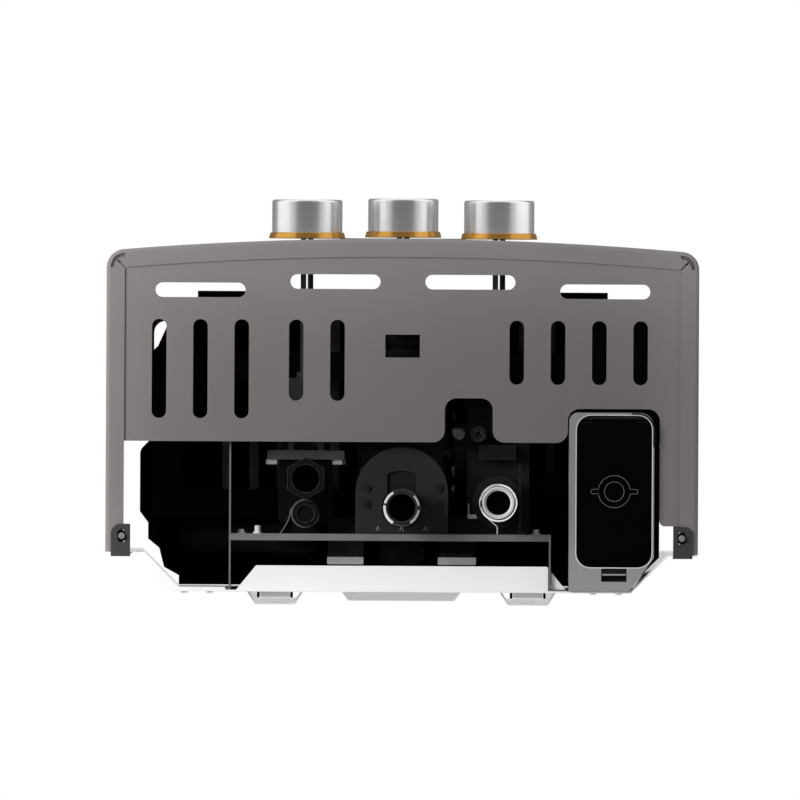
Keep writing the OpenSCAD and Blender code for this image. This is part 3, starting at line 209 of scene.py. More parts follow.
def make_turned_lines():
    """Fine lathe lines round an axis along Y, on the end face and the side alike."""
    group, start, end = shader_group(
        "turned_lines",
        [
            ("Axis X", "NodeSocketFloat", 0.0),
            ("Axis Z", "NodeSocketFloat", 0.0),
            ("Lines", "NodeSocketFloat", 4000.0),
        ],
        [("Height", "NodeSocketFloat")],
    )
    place = add_node(group, "ShaderNodeTexCoord")
    split = add_node(group, "ShaderNodeSeparateXYZ")
    off_x = add_node(group, "ShaderNodeMath", operation="SUBTRACT")
    off_z = add_node(group, "ShaderNodeMath", operation="SUBTRACT")
    radial = add_node(group, "ShaderNodeCombineXYZ")
    reach = add_node(group, "ShaderNodeVectorMath", operation="LENGTH")
    along = add_node(group, "ShaderNodeCombineXYZ")
    lines = add_node(group, "ShaderNodeTexNoise", noise_dimensions="2D", Detail=2.0)
    join = group.links.new
    join(place.outputs["Object"], split.inputs["Vector"])
    join(split.outputs["X"], off_x.inputs[0])
    join(start.outputs["Axis X"], off_x.inputs[1])
    join(split.outputs["Z"], off_z.inputs[0])
    join(start.outputs["Axis Z"], off_z.inputs[1])
    join(off_x.outputs["Value"], radial.inputs["X"])
    join(off_z.outputs["Value"], radial.inputs["Z"])
    join(radial.outputs["Vector"], reach.inputs[0])
    join(reach.outputs["Value"], along.inputs["X"])
    join(split.outputs["Y"], along.inputs["Y"])
    join(along.outputs["Vector"], lines.inputs["Vector"])
    join(start.outputs["Lines"], lines.inputs["Scale"])
    join(lines.outputs["Fac"], end.inputs["Height"])
    return group


def make_rolled_streaks():
    """Mask of long faint streaks, as rolled sheet and drawn pipe have."""
    group, start, end = shader_group(
        "rolled_streaks",
        [("Stretch", "NodeSocketVector", (400.0, 400.0, 12.0))],
        [("Mask", "NodeSocketFloat")],
    )
    place = add_node(group, "ShaderNodeTexCoord")
    pull = add_node(group, "ShaderNodeVectorMath", operation="MULTIPLY")
    streaks = add_node(group, "ShaderNodeTexNoise", Scale=1.0, Detail=3.0)
    join = group.links.new
    join(place.outputs["Object"], pull.inputs[0])
    join(start.outputs["Stretch"], pull.inputs[1])
    join(pull.outputs["Vector"], streaks.inputs["Vector"])
    join(streaks.outputs["Fac"], end.inputs["Mask"])
    return group


TONE_DRIFT = make_tone_drift()
SKIN_GRAIN = make_skin_grain()
EDGE_WEAR_AND_HIGHLIGHT = make_edge_wear_and_highlight()
TURNED_LINES = make_turned_lines()
ROLLED_STREAKS = make_rolled_streaks()


# Materials


def place_group(tree, group, **values):
    """A group node in a material, with its own values."""
    node = tree.nodes.new("ShaderNodeGroup")
    node.node_tree = group
    for name, value in values.items():
        node.inputs[name.replace("_", " ")].default_value = value
    return node


def new_finish(name, metallic=0.0, specular=0.5, coat=0.0):
    """A material and its shader."""
    material = bpy.data.materials.new(name)
    material.use_nodes = True
    shader = material.node_tree.nodes["Principled BSDF"]
    shader.inputs["Metallic"].default_value = metallic
    shader.inputs["Specular IOR Level"].default_value = specular
    shader.inputs["Coat Weight"].default_value = coat
    return material, shader


def opaque(color):
    return (*color, 1)


def drift_color(tree, shader, tone, other, scale):
    """Drifting tone on the shader's colour."""
    drift = place_group(tree, TONE_DRIFT, Tone=opaque(tone), Other_Tone=opaque(other), Scale=scale)
    tree.links.new(drift.outputs["Color"], shader.inputs["Base Color"])
    return drift


def vary_roughness(tree, shader, mask, low, high):
    """Roughness between two values along a mask."""
    spread = spread_range(tree, GRAIN_RANGE, (low, high))
    tree.links.new(mask, spread.inputs["Value"])
    tree.links.new(spread.outputs["Result"], shader.inputs["Roughness"])


def raise_surface(tree, shader, height, strength, depth):
    """Bump of the shader's surface."""
    bump = add_node(tree, "ShaderNodeBump", Strength=strength, Distance=depth)
    tree.links.new(height, bump.inputs["Height"])
    tree.links.new(bump.outputs["Normal"], shader.inputs["Normal"])


def rub_and_light_edges(tree, shader, drift, edge_tone, radius):
    """Edge tone along the outer edges, over the drifting tone: rubbed wear on painted sheet, a painted
    highlight on castings.
    """
    wear_and_highlight = place_group(tree, EDGE_WEAR_AND_HIGHLIGHT, Radius=radius)
    mix = add_node(tree, "ShaderNodeMix", data_type="RGBA")
    mix.inputs[7].default_value = opaque(edge_tone)
    tree.links.new(wear_and_highlight.outputs["Mask"], mix.inputs["Factor"])
    tree.links.new(drift.outputs["Color"], mix.inputs[6])
    tree.links.new(mix.outputs[2], shader.inputs["Base Color"])


def powder_coat(name, tone, other, edge_tone, roughness, specular=0.4, coat=0.0, peel=0.12):
    """Painted sheet with a fine peel and slightly rubbed edges."""
    material, shader = new_finish(name, specular=specular, coat=coat)
    tree = material.node_tree
    drift = drift_color(tree, shader, tone, other, 14.0)
    rub_and_light_edges(tree, shader, drift, edge_tone, 0.6 * MM)
    grain = place_group(tree, SKIN_GRAIN, Scale=1400.0, Lumps=0.5)
    vary_roughness(tree, shader, grain.outputs["Mask"], *roughness)
    raise_surface(tree, shader, grain.outputs["Height"], peel, 0.1 * MM)
    return material


def cast_metal(name, tone, other, edge_tone, roughness, metallic, specular=0.5):
    """Sand-cast body with a coarse grain, and a much lighter tone along its outer edges that is a painted
    highlight.
    """
    material, shader = new_finish(name, metallic=metallic, specular=specular)
    tree = material.node_tree
    drift = drift_color(tree, shader, tone, other, 60.0)
    rub_and_light_edges(tree, shader, drift, edge_tone, 0.8 * MM)
    grain = place_group(tree, SKIN_GRAIN, Scale=1100.0, Lumps=0.3)
    vary_roughness(tree, shader, grain.outputs["Mask"], *roughness)
    raise_surface(tree, shader, grain.outputs["Height"], 0.35, 0.2 * MM)
    return material


def bare_metal(name, tone, other, roughness, stretch, metallic=1.0):
    """Plain rolled or drawn metal with faint streaks."""
    material, shader = new_finish(name, metallic=metallic)
    tree = material.node_tree
    drift_color(tree, shader, tone, other, 45.0)
    streaks = place_group(tree, ROLLED_STREAKS, Stretch=stretch)
    vary_roughness(tree, shader, streaks.outputs["Mask"], *roughness)
    raise_surface(tree, shader, streaks.outputs["Mask"], 0.05, 0.05 * MM)
    return material


def turned_metal(name, tone, other, roughness, axis, strength):
    """Plated metal with lathe lines round its own axis."""
    material, shader = new_finish(name, metallic=1.0)
    tree = material.node_tree
    drift_color(tree, shader, tone, other, 30.0)
    lines = place_group(tree, TURNED_LINES, Axis_X=axis.x, Axis_Z=axis.z)
    vary_roughness(tree, shader, lines.outputs["Height"], *roughness)
    raise_surface(tree, shader, lines.outputs["Height"], strength, 0.04 * MM)
    return material


def moulded(name, tone, other, roughness, grain_scale, strength, coat=0.0, specular=0.5):
    """Moulded plastic with its tool's fine texture."""
    material, shader = new_finish(name, specular=specular, coat=coat)
    tree = material.node_tree
    drift_color(tree, shader, tone, other, 25.0)
    grain = place_group(tree, SKIN_GRAIN, Scale=grain_scale, Lumps=0.2)
    vary_roughness(tree, shader, grain.outputs["Mask"], *roughness)
    raise_surface(tree, shader, grain.outputs["Height"], strength, 0.08 * MM)
    return material


FINISHES = {
    "cover_paint": powder_coat(
        "satin_grey_paint", (0.186, 0.173, 0.17), (0.178, 0.165, 0.162), (0.25, 0.235, 0.23), (0.42, 0.5)
    ),
    "white_paint": powder_coat(
        "white_paint", (0.85, 0.855, 0.865), (0.82, 0.825, 0.835), (0.9, 0.9, 0.91), (0.3, 0.4), coat=0.6
    ),
    "dark_steel": powder_coat(
        "dark_coat", (0.016, 0.016, 0.0165), (0.012, 0.012, 0.0125), (0.05, 0.05, 0.05), (0.4, 0.55), 0.2
    ),
    "grey_steel": bare_metal(
        "zinc_sheet", (0.23, 0.23, 0.235), (0.19, 0.19, 0.195), (0.35, 0.5), (30.0, 500.0, 500.0), 0.3
    ),
    "bright_steel": bare_metal(
        "bright_plate", (0.86, 0.86, 0.88), (0.78, 0.78, 0.8), (0.1, 0.2), (500.0, 500.0, 60.0)
    ),
    "copper": bare_metal(
        "smoked_copper", (0.12, 0.075, 0.055), (0.07, 0.045, 0.035), (0.3, 0.5), (200.0, 200.0, 200.0)
    ),
    "gold": bare_metal(
        "gold_plate", (0.75, 0.4, 0.09), (0.64, 0.33, 0.07), (0.22, 0.32), (60.0, 900.0, 60.0)
    ),
    # The castings' lighter edge tones are painted highlights along their edges
    "valve_metal": cast_metal(
        "dark_casting", (0.02, 0.02, 0.021), (0.012, 0.012, 0.013), (0.1, 0.1, 0.1), (0.3, 0.45), 0.3, 0.3
    ),
    "light_metal": cast_metal(
        "plain_casting", (0.17, 0.17, 0.17), (0.13, 0.13, 0.13), (0.34, 0.34, 0.34), (0.3, 0.45), 0.4
    ),
    "grey_plastic": moulded(
        "grey_moulding", (0.28, 0.28, 0.275), (0.26, 0.26, 0.255), (0.45, 0.55), 2200.0, 0.2
    ),
    "black_plastic": moulded(
        "gloss_black_moulding", (0.001, 0.001, 0.001), (0.0007, 0.0007, 0.0007), (0.1, 0.16), 500.0, 0.02, 0.3
    ),
    "ceramic": moulded(
        "glazed_ceramic", (0.75, 0.73, 0.68), (0.68, 0.66, 0.6), (0.2, 0.3), 400.0, 0.05, 0.5
    ),
    "cell_skin": moulded(
        "cell_lacquer", (0.05, 0.12, 0.07), (0.04, 0.1, 0.06), (0.25, 0.35), 900.0, 0.04, 0.2
    ),
}
# The black fittings' edge tones, far lighter than their bodies, are painted highlights along their edges
BLACK_FITTING = cast_metal(
    "black_fitting", (0.006, 0.006, 0.006), (0.004, 0.004, 0.004), (0.12, 0.12, 0.12), (0.12, 0.22), 0.0, 0.8
)
BLACK_CASTING = cast_metal(
    "black_casting", (0.006, 0.006, 0.006), (0.004, 0.004, 0.004), (0.03, 0.03, 0.03), (0.4, 0.5), 0.0, 0.2
)
# Stretch of streaks that run no way in particular
EVEN = (300.0, 300.0, 300.0)
CUT_FACE = bare_metal("cut_face", (0.8, 0.8, 0.81), (0.68, 0.68, 0.69), (0.35, 0.5), EVEN, 0.15)
SCREW_FACE = bare_metal("screw_face", (0.3, 0.3, 0.3), (0.22, 0.22, 0.22), (0.3, 0.45), EVEN, 0.3)
COMB_FACE = bare_metal("comb_face", (0.55, 0.55, 0.56), (0.47, 0.47, 0.48), (0.35, 0.5), EVEN, 0.15)
TAB_COAT = powder_coat(
    "tab_coat", (0.05, 0.048, 0.047), (0.044, 0.042, 0.041), (0.11, 0.11, 0.1), (0.4, 0.5), 0.2
)
# Nodes whose finish is a darker or lighter batch of their slot
BATCHES = {
    "hot_outlet_nut": BLACK_FITTING,
    "port_cap": BLACK_FITTING,
    "battery_hinge_pin": BLACK_FITTING,
    "hot_outlet_body": BLACK_CASTING,
    "valve_bracket": FINISHES["dark_steel"],
    "cover_screws": SCREW_FACE,
    "corner_tabs": TAB_COAT,
    "inlet_plate": powder_coat(
        "plate_coat", (0.025, 0.025, 0.025), (0.021, 0.021, 0.021), (0.06, 0.06, 0.06), (0.4, 0.55), 0.2
    ),
    "hang_bracket": powder_coat(
        "grey_paint", (0.74, 0.745, 0.755), (0.7, 0.705, 0.715), (0.8, 0.8, 0.8), (0.35, 0.45), coat=0.4
    ),
    "door_latch": moulded(
        "latch_moulding", (0.006, 0.006, 0.006), (0.004, 0.004, 0.004), (0.4, 0.5), 2200.0, 0.2
    ),
}
# Near-black moulding that paints shade into recesses
PAINTED_SHADE_BAY = moulded("painted_shade_bay", (0.006, 0.006, 0.006), (0.005, 0.005, 0.005), (0.5, 0.6), 900.0, 0.05)


def knob_finish(name):
    """Satin chrome turned round the knob's own axis."""
    low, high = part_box(name)
    return turned_metal(
        f"{name}_chrome", (0.95, 0.95, 0.96), (0.9, 0.9, 0.91), (0.27, 0.31), (low + high) / 2, 0.012
    )


def paint_nodes():
    """Gives every CAD node its finish."""
    for part in frame["record"]["subparts"]:
        name, slot = part["node"], part["material_slot"]
        finish = knob_finish(name) if slot == "knob_chrome" else BATCHES.get(name, FINISHES.get(slot))
        mesh = nodes[name].data
        mesh.materials.clear()
        mesh.materials.append(finish)


def shade_inside(name, low, high):
    """Paints shade on the faces of a node whose middles lie in a box, with a near-black second material."""
    mesh = nodes[name].data
    if len(mesh.materials) < 2:
        mesh.materials.append(PAINTED_SHADE_BAY)
    for face in mesh.polygons:
        if all(low[i] < face.center[i] < high[i] for i in range(3)):
            face.material_index = 1


def shade_recesses():
    """Paints shade in the rooms behind the battery door and the latch, and on the heads of the cover screws.
    """
    for name, reach in (("battery_door", 1), ("door_latch", 3.5)):
        low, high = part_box(name)
        room = high + Vector((MM, reach * MM, 1))
        shade_inside("battery_case", low + Vector((-MM, -MM, 0.3 * MM)), room)
    low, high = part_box("cover_screws")
    shade_inside("cover_screws", low + Vector((-MM, -MM, 0.2 * MM)), high + Vector((MM, MM, MM)))


paint_nodes()
shade_recesses()


# Softened edges

EDGES = {
    "cover_paint": SHEET_EDGE,
    "white_paint": SHEET_EDGE,
    "dark_steel": SHEET_EDGE,
    "grey_steel": SHEET_EDGE,
    "bright_steel": TURNED_EDGE,
    "knob_chrome": TURNED_EDGE,
    "gold": SHEET_EDGE,
    "valve_metal": CAST_EDGE,
    "light_metal": CAST_EDGE,
    "copper": SHEET_EDGE,
    "grey_plastic": MOULDED_EDGE,
    "black_plastic": MOULDED_EDGE,
    "ceramic": SHEET_EDGE,
    "cell_skin": TURNED_EDGE,
}


# Bent sheets without curved faces
FLAT_SHEETS = ("wall_rails", "hang_bracket", "bridge_bracket", "valve_bracket", "chamber_brackets")


def soften(obj, width):
    """Rounds the sharp edges a little and shades the rest smoothly, but for flat sheets."""
    curved = obj.name not in FLAT_SHEETS
    obj.data.polygons.foreach_set("use_smooth", [curved] * len(obj.data.polygons))
    weld = obj.modifiers.new("joined_faces", "WELD")
    weld.merge_threshold = 0.002 * MM
    bevel = obj.modifiers.new("softened_edges", "BEVEL")
    bevel.width = width
    bevel.segments = 2
    bevel.limit_method = "ANGLE"
    bevel.angle_limit = SHARP_ANGLE
    if not curved:
        return
    bevel.harden_normals = True
    bevel.face_strength_mode = "FSTR_AFFECTED"
    level = obj.modifiers.new("level_faces", "WEIGHTED_NORMAL")
    level.weight = 80
    level.use_face_influence = True


# Edges that differ from the rest of their slot
BROAD_EDGES = {
    "door_lock": 0.6 * MM,
    "battery_door": 0.5 * MM,
    "hot_outlet_nut": 0.3 * MM,
    "port_cap": 0.25 * MM,
}
for part in frame["record"]["subparts"]:
    soften(nodes[part["node"]], BROAD_EDGES.get(part["node"], EDGES[part["material_slot"]]))


# Pieces that dress the solids


def add_piece(name, points, faces, slot, finish=None, body="heater", smooth=30, second=None, seconds=()):
    """A mesh piece that rides on a body and takes a slot's finish, with a second one on some faces."""
    mesh = bpy.data.meshes.new(name)
    mesh.from_pydata(points, [], faces)
    shell = bmesh.new()
    shell.from_mesh(mesh)
    bmesh.ops.recalc_face_normals(shell, faces=shell.faces)
    shell.to_mesh(mesh)
    shell.free()
    mesh.polygons.foreach_set("use_smooth", [True] * len(mesh.polygons))
    mesh.set_sharp_from_angle(angle=math.radians(smooth))
    mesh.materials.append(finish or FINISHES[slot])
    if second:
        mesh.materials.append(second)
        for i in seconds:
            mesh.polygons[i].material_index = 1
    piece = bpy.data.objects.new(name, mesh)
    bpy.context.collection.objects.link(piece)
    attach(piece, body)
    return piece


def merge(parts):
    """One list of points and one of faces, from several."""
    points, faces = [], []
    for part_points, part_faces in parts:
        base = len(points)
        points += part_points
        faces += [[base + i for i in face] for face in part_faces]
    return points, faces


def placed(part, matrix):
    """A part's points moved by a matrix."""
    points, faces = part
    return [tuple(matrix @ Vector(p)) for p in points], faces


def rings_to_faces(rings, count, closed):
    """Quads between neighbouring rings of points, and from the last ring to the first if closed."""
    faces = []
    for i in range(rings if closed else rings - 1):
        a, b = i * count, (i + 1) % rings * count
        faces += [[a + j, a + (j + 1) % count, b + (j + 1) % count, b + j] for j in range(count)]
    return faces


def turned(profile, sides):
    """Closed solid of revolution round Z from a loop of (radius, height) points."""
    points = []
    for radius, height in profile:
        turn = [2 * math.pi * j / sides for j in range(sides)]
        points += [(radius * math.cos(a), radius * math.sin(a), height) for a in turn]
    return points, rings_to_faces(len(profile), sides, True)


def domed(profile, sides):
    """Solid of revolution round Z, closed at its first and last ring."""
    points, faces = turned(profile, sides)
    faces = faces[: (len(profile) - 1) * sides]
    faces.append(list(reversed(range(sides))))
    faces.append([(len(profile) - 1) * sides + j for j in range(sides)])
    return points, faces


def chamfered_box(low, high, cut):
    """Box with cut edges along its height."""
    (x0, y0, z0), (x1, y1, z1) = low, high
    loop = [
        (x0 + cut, y0), (x1 - cut, y0), (x1, y0 + cut), (x1, y1 - cut),
        (x1 - cut, y1), (x0 + cut, y1), (x0, y1 - cut), (x0, y0 + cut),
    ]
    points = [(x, y, z) for z in (z0, z1) for x, y in loop]
    faces = rings_to_faces(2, 8, False)
    faces.append(list(reversed(range(8))))
    faces.append(list(range(8, 16)))
    return points, faces


def wire(path, radius, sides=8):
    """Round wire along a path, with closed ends."""
    path = [Vector(p) for p in path]
    points = []
    across = None
    for i, place in enumerate(path):
        ahead = (path[min(i + 1, len(path) - 1)] - path[max(i - 1, 0)]).normalized()
        if across is None:
            across = ahead.orthogonal().normalized()
        across = (across - ahead * across.dot(ahead)).normalized()
        other = ahead.cross(across)
        for j in range(sides):
            a = 2 * math.pi * j / sides
            points.append(tuple(place + radius * (math.cos(a) * across + math.sin(a) * other)))
    faces = rings_to_faces(len(path), sides, False)
    faces.append(list(reversed(range(sides))))
    faces.append([(len(path) - 1) * sides + j for j in range(sides)])
    return points, faces


# Pipe threads
THREAD_PITCH = 1.814 * MM
THREAD_DEPTH = 1.16 * MM
THREAD_LENGTH = 30 * MM
THREAD_SIDES = 48
THREAD_ROWS = 6
NIPPLE_NECK = 9.08 * MM
END_CUT = 1.1 * MM


def threaded_nipple(name, node, bore, finish, bright, bright_rows):
    """Pipe stub with a real thread, cut ends and an open bore, in place of its plain solid."""
    low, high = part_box(node)
    x, y = (low.x + high.x) / 2, (low.y + high.y) / 2
    outer = (high.x - low.x) / 2
    rows = round(THREAD_LENGTH / THREAD_PITCH * THREAD_ROWS)
    turn = [2 * math.pi * j / THREAD_SIDES for j in range(THREAD_SIDES)]

    def crest(up, share):
        wave = abs(2 * ((up / THREAD_PITCH - share) % 1) - 1)
        ends = min(up, THREAD_LENGTH - up)
        return min(outer - THREAD_DEPTH * (1 - wave), outer - THREAD_DEPTH + ends * 0.9)

    tall = high.z - low.z
    plain = [(bore, tall), (bore, END_CUT), (bore + END_CUT, 0)]
    plain += [(outer - 1.5 * END_CUT, 0), (outer - END_CUT, 0.25 * MM)]
    rings = [[ring] * THREAD_SIDES for ring in plain]
    for i in range(rows + 1):
        up = 0.3 * MM + (THREAD_LENGTH - 0.3 * MM) * i / rows
        rings.append([(crest(up, j / THREAD_SIDES), up) for j in range(THREAD_SIDES)])
    rings += [[ring] * THREAD_SIDES for ring in [(NIPPLE_NECK, THREAD_LENGTH), (NIPPLE_NECK, tall)]]
    points = [
        (x + r * math.cos(a), y - r * math.sin(a), low.z + up)
        for ring in rings
        for a, (r, up) in zip(turn, ring)
    ]
    faces = rings_to_faces(len(rings), THREAD_SIDES, True)
    shiny = [j for j in range(THREAD_SIDES) if bright(360 * j / THREAD_SIDES)]
    chosen = [i * THREAD_SIDES + j for i in bright_rows for j in shiny]
    piece = add_piece(name, points, faces, "bright_steel", finish, second=CUT_FACE, seconds=chosen)
    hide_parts(node)


def lit_arcs(angle):
    """Arcs of the gas nipple's rim in bright metal on its dark coat, a painted highlight of the rim."""
    arcs = ((5, 45), (120, 165), (172, 240), (300, 352))
    return any(a <= angle % 360 < b for a, b in arcs)


GAS_COAT = bare_metal(
    "gas_coat", (0.03, 0.03, 0.03), (0.02, 0.02, 0.02), (0.2, 0.3), (500.0, 500.0, 60.0), 0.4
)
GAS_BORE = 7.5 * MM
COLD_BORE = 6.7 * MM
# Bright arcs on the gas nipple's rim are a painted highlight
threaded_nipple("gas_thread", "gas_nipple", GAS_BORE, GAS_COAT, lit_arcs, (3, 4, 5, 6, 7))
threaded_nipple("cold_thread", "cold_nipple", COLD_BORE, None, lambda angle: True, (1, 2))

# Small hardware
TO_FRONT = Matrix.Rotation(math.pi / 2, 4, "X")
TO_WALL = Matrix.Rotation(-math.pi / 2, 4, "X")
TO_LEFT = Matrix.Rotation(-math.pi / 2, 4, "Y")
# Height above the bottom lip of the strips under the chamber brackets
COMB_HEIGHT = 28
# Distance of a socket's six flats from its axis, against the radius of the ring they are cut from
SOCKET_SHARE = 0.87


def level(height):
    """Place on Z of a height above the bottom lip."""
    return UNDERSIDE + height * MM


def socket_head(profile, hexed, sides=36):
    """Turned head whose first rings are a hexagon socket."""
    points, faces = domed([(r * MM, h * MM) for r, h in profile], sides)
    corner = math.pi / 3
    for i in range(hexed * sides):
        x, y, z = points[i]
        a = math.atan2(y, x) % corner - corner / 2
        points[i] = (x * SOCKET_SHARE / math.cos(a), y * SOCKET_SHARE / math.cos(a), z)
    return points, faces


def add_valve_heads():
    """Ringed drain cap and bright bleed screw, in place of their plain solids."""
    low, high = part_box("drain_plug")
    spot = Matrix.Translation(((low.x + high.x) / 2, (low.y + high.y) / 2, low.z))
    r = (high.x - low.x) / 2 / MM
    head = UNDERSIDE / MM + 29.95 - low.z / MM
    shape = [(1.9, 1.8), (1.9, 0.2), (2.2, 0), (2.9, 0), (3.1, 0.5), (3.3, 0.5)]
    shape += [(3.5, 0), (r - 0.6, 0), (r, 0.6), (r, head)]
    shape += [(0.6 * r, head), (0.6 * r, (high.z - low.z) / MM)]
    cap = placed(socket_head(shape, 3), spot)
    piece = add_piece("drain_cap", *cap, "light_metal", BLACK_FITTING, "drain")
    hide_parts("drain_plug")
    low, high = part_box("bleed_screw")
    spot = Matrix.Translation(((low.x + high.x) / 2, (low.y + high.y) / 2, low.z))
    r = (high.x - low.x) / 2 / MM
    shape = [(1.4, 1.5), (1.4, 0.3), (1.8, 0), (2.2, 0), (r - 0.4, 0.5), (r, 1.2)]
    shape += [(r, 3), (r / 2, 3), (r / 2, 9)]
    piece = add_piece("bleed_head", *placed(socket_head(shape, 3), spot), "bright_steel", CUT_FACE)
    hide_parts("bleed_screw")


def rivet(radius, height):
    """Low domed head."""
    steps = 5
    arc = [math.pi / 2 * i / steps for i in range(steps)]
    return domed([(radius * math.cos(a), height * math.sin(a)) for a in arc], 16)


def hex_head(across, height, hole=0.0):
    """Hexagon head or nut with cut corners."""
    r = across / math.sqrt(3)
    if hole:
        return turned([(hole, 0), (r, 0), (r, height * 0.8), (r * 0.9, height), (hole, height)], 6)
    return domed([(r, 0), (r, height * 0.8), (r * 0.9, height)], 6)


def add_back_rivets():
    """Domed rivets of the inner brackets on the wall side of the back plate."""
    wall_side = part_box("back_plate")[1].y
    columns = (-119.7, -105.5, 105.5, 119.7)
    heights = (30, 152, 275, 398, 520)
    heads = []
    for x in columns:
        for height in heights:
            spot = Matrix.Translation((x * MM, wall_side, level(height)))
            heads.append(placed(rivet(2.1 * MM, 1.3 * MM), spot @ TO_WALL))
    add_piece("back_rivets", *merge(heads), "bright_steel")


def add_bracket_combs():
    """Toothed springs along the feet of the strips under the chamber brackets."""
    foot = level(COMB_HEIGHT)
    inner, outer, front, tall = 21 * MM, 39.5 * MM, 26 * MM, 6 * MM
    pitch, tooth, reach = 2.3 * MM, 1.2 * MM, 2.4 * MM
    teeth = []
    for side in (-1, 1):
        ends = sorted((side * inner, side * outer))
        teeth.append(chamfered_box(
            (ends[0], -front - 0.6 * MM, foot + 1.5 * MM), (ends[1], -front, foot + tall), 0.15 * MM
        ))
        for i in range(8):
            x = ends[0] + 0.5 * MM + i * pitch
            teeth.append(chamfered_box(
                (x, -front - reach, foot + 2 * MM), (x + tooth, -front - 0.5 * MM, foot + tall), 0.2 * MM
            ))
    add_piece("bracket_combs", *merge(teeth), "dark_steel")


def add_flange_nuts():
    """Nuts behind the corners of the outlet flange."""
    low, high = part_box("outlet_flange")
    middle = (low.x + high.x) / 2
    back, reach, inset = -79.8 * MM, 18, 6 * MM
    nuts = []
    for side in (-reach, reach):
        for z in (low.z + inset, high.z - inset):
            spot = Matrix.Translation((middle + side * MM, back, z))
            nuts.append(placed(hex_head(7 * MM, 2.8 * MM, 2.42 * MM), spot @ TO_WALL))
    add_piece("flange_nuts", *merge(nuts), "bright_steel", CUT_FACE)


def add_cover_bolts():
    """Hexagon heads round the diaphragm cover."""
    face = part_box("diaphragm_cover")[0].x
    y, height, circle = -84, 70, 21
    bolts = []
    for i in range(6):
        a = math.pi * i / 3
        place = (face, (y + circle * math.cos(a)) * MM, level(height + circle * math.sin(a)))
        spot = Matrix.Translation(place)
        bolts.append(placed(hex_head(5.5 * MM, 2.6 * MM), spot @ TO_LEFT))
    add_piece("cover_bolts", *merge(bolts), "bright_steel")


def add_bridge_bolts():
    """Screws with round collars on the front of the bridge bracket."""
    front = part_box("inlet_plate")[1].y
    bolts = []
    for x, reach in ((-79.3, 4.4), (-88.4, 2.4), (74, 3)):
        spot = Matrix.Translation((x * MM, front, level(18)))
        shape = [(2.6, 0), (2.6, 0.8), (1.7, 1.0), (1.7, reach - 0.4), (1.3, reach)]
        bolts.append(placed(domed([(r * MM, h * MM) for r, h in shape], 20), spot @ TO_FRONT))
    add_piece("bridge_bolts", *merge(bolts), "bright_steel", CUT_FACE)


def add_plate_clips():
    """Three bent hooks that hold the inlet plate to the bridge bracket."""
    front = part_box("inlet_plate")[1].y - 1.5 * MM
    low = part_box("inlet_plate")[0].z
    clips = []
    for x in (-13, 0, 13):
        for side in (-0.9, 0.9):
            clips.append(wire(
                [
                    ((x + side) * MM, front - 0.2 * MM, low + 5 * MM),
                    ((x + side) * MM, front - 0.4 * MM, low - 0.2 * MM),
                    ((x + side * 0.7) * MM, front - 1.2 * MM, low - 0.4 * MM),
                    (x * MM, front - 2.6 * MM, low - 0.3 * MM),
                ],
                0.35 * MM,
            ))
    add_piece("plate_clips", *merge(clips), "grey_steel")


def add_wire_clips():
    """Sprung wires round the port cap and the cold water nipple, each with a tail to the bridge."""
    low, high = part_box("port_cap")
    x, y = (low.x + high.x) / 2, (low.y + high.y) / 2
    r = (high.x - low.x) / 2 + 0.45 * MM
    z = low.z + 5 * MM
    bend = [math.radians(a) for a in range(60, 361, 15)]
    ring = [(x + r * math.cos(a), y - r * math.sin(a), z) for a in bend]
    tail = [(-8, -3, 0.3), (-8.6, 1, 0.6), (-10, 5, 1), (-12.6, 9.4, 1.2), (-15.6, 12.6, 1.2)]
    tail = [(x + a * MM, y + b * MM, z + c * MM) for a, b, c in reversed(tail)]
    add_piece("port_clip", *merge([wire(tail, 0.3 * MM), wire(ring, 0.35 * MM)]), "grey_steel")
    low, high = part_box("cold_nipple")
    x, y = (low.x + high.x) / 2, (low.y + high.y) / 2
    r = 9.9 * MM
    z = level(9.5)
    bend = [math.radians(a) for a in range(-75, 226, 15)]
    ring = [(x + r * math.cos(a), y - r * math.sin(a), z) for a in bend]
    tail = [(-7.0, 7.0, 0), (-3.4, 10.6, 0), (-0.6, 13.0, 0), (-0.4, 14, 0), (-0.4, 17.2, 0)]
    tail = [(x + a * MM, y + b * MM, z + c * MM) for a, b, c in tail]
    add_piece("inlet_clip", *merge([wire(ring, 0.4 * MM), wire(tail, 0.3 * MM)]), "bright_steel", CUT_FACE)


def add_valve_clip():
    """Bright terminal with two blades under the water valve."""
    top = level(30)
    parts = [chamfered_box((36.2 * MM, -50 * MM, top - 3 * MM), (41.6 * MM, -47.6 * MM, top), 0.3 * MM)]
    for x in (36.4, 40.4):
        parts.append(chamfered_box(
            (x * MM, -56 * MM, top - 2.4 * MM), ((x + 0.8) * MM, -49.8 * MM, top), 0.15 * MM
        ))
    add_piece("valve_terminal", *merge(parts), "bright_steel", CUT_FACE)


def add_comb_plates():
    """Light stiffening strips that hang from the lower ends of the chamber brackets."""
    foot = level(COMB_HEIGHT) - 1.2 * MM
    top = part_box("chamber_brackets")[0].z
    front, back = -26.2 * MM, -22.2 * MM
    parts = []
    for x0, x1 in ((-41, -21), (20, 41)):
        parts.append(chamfered_box((x0 * MM, front, foot), (x1 * MM, back, top), 0.3 * MM))
    add_piece("comb_plates", *merge(parts), "grey_steel", COMB_FACE)


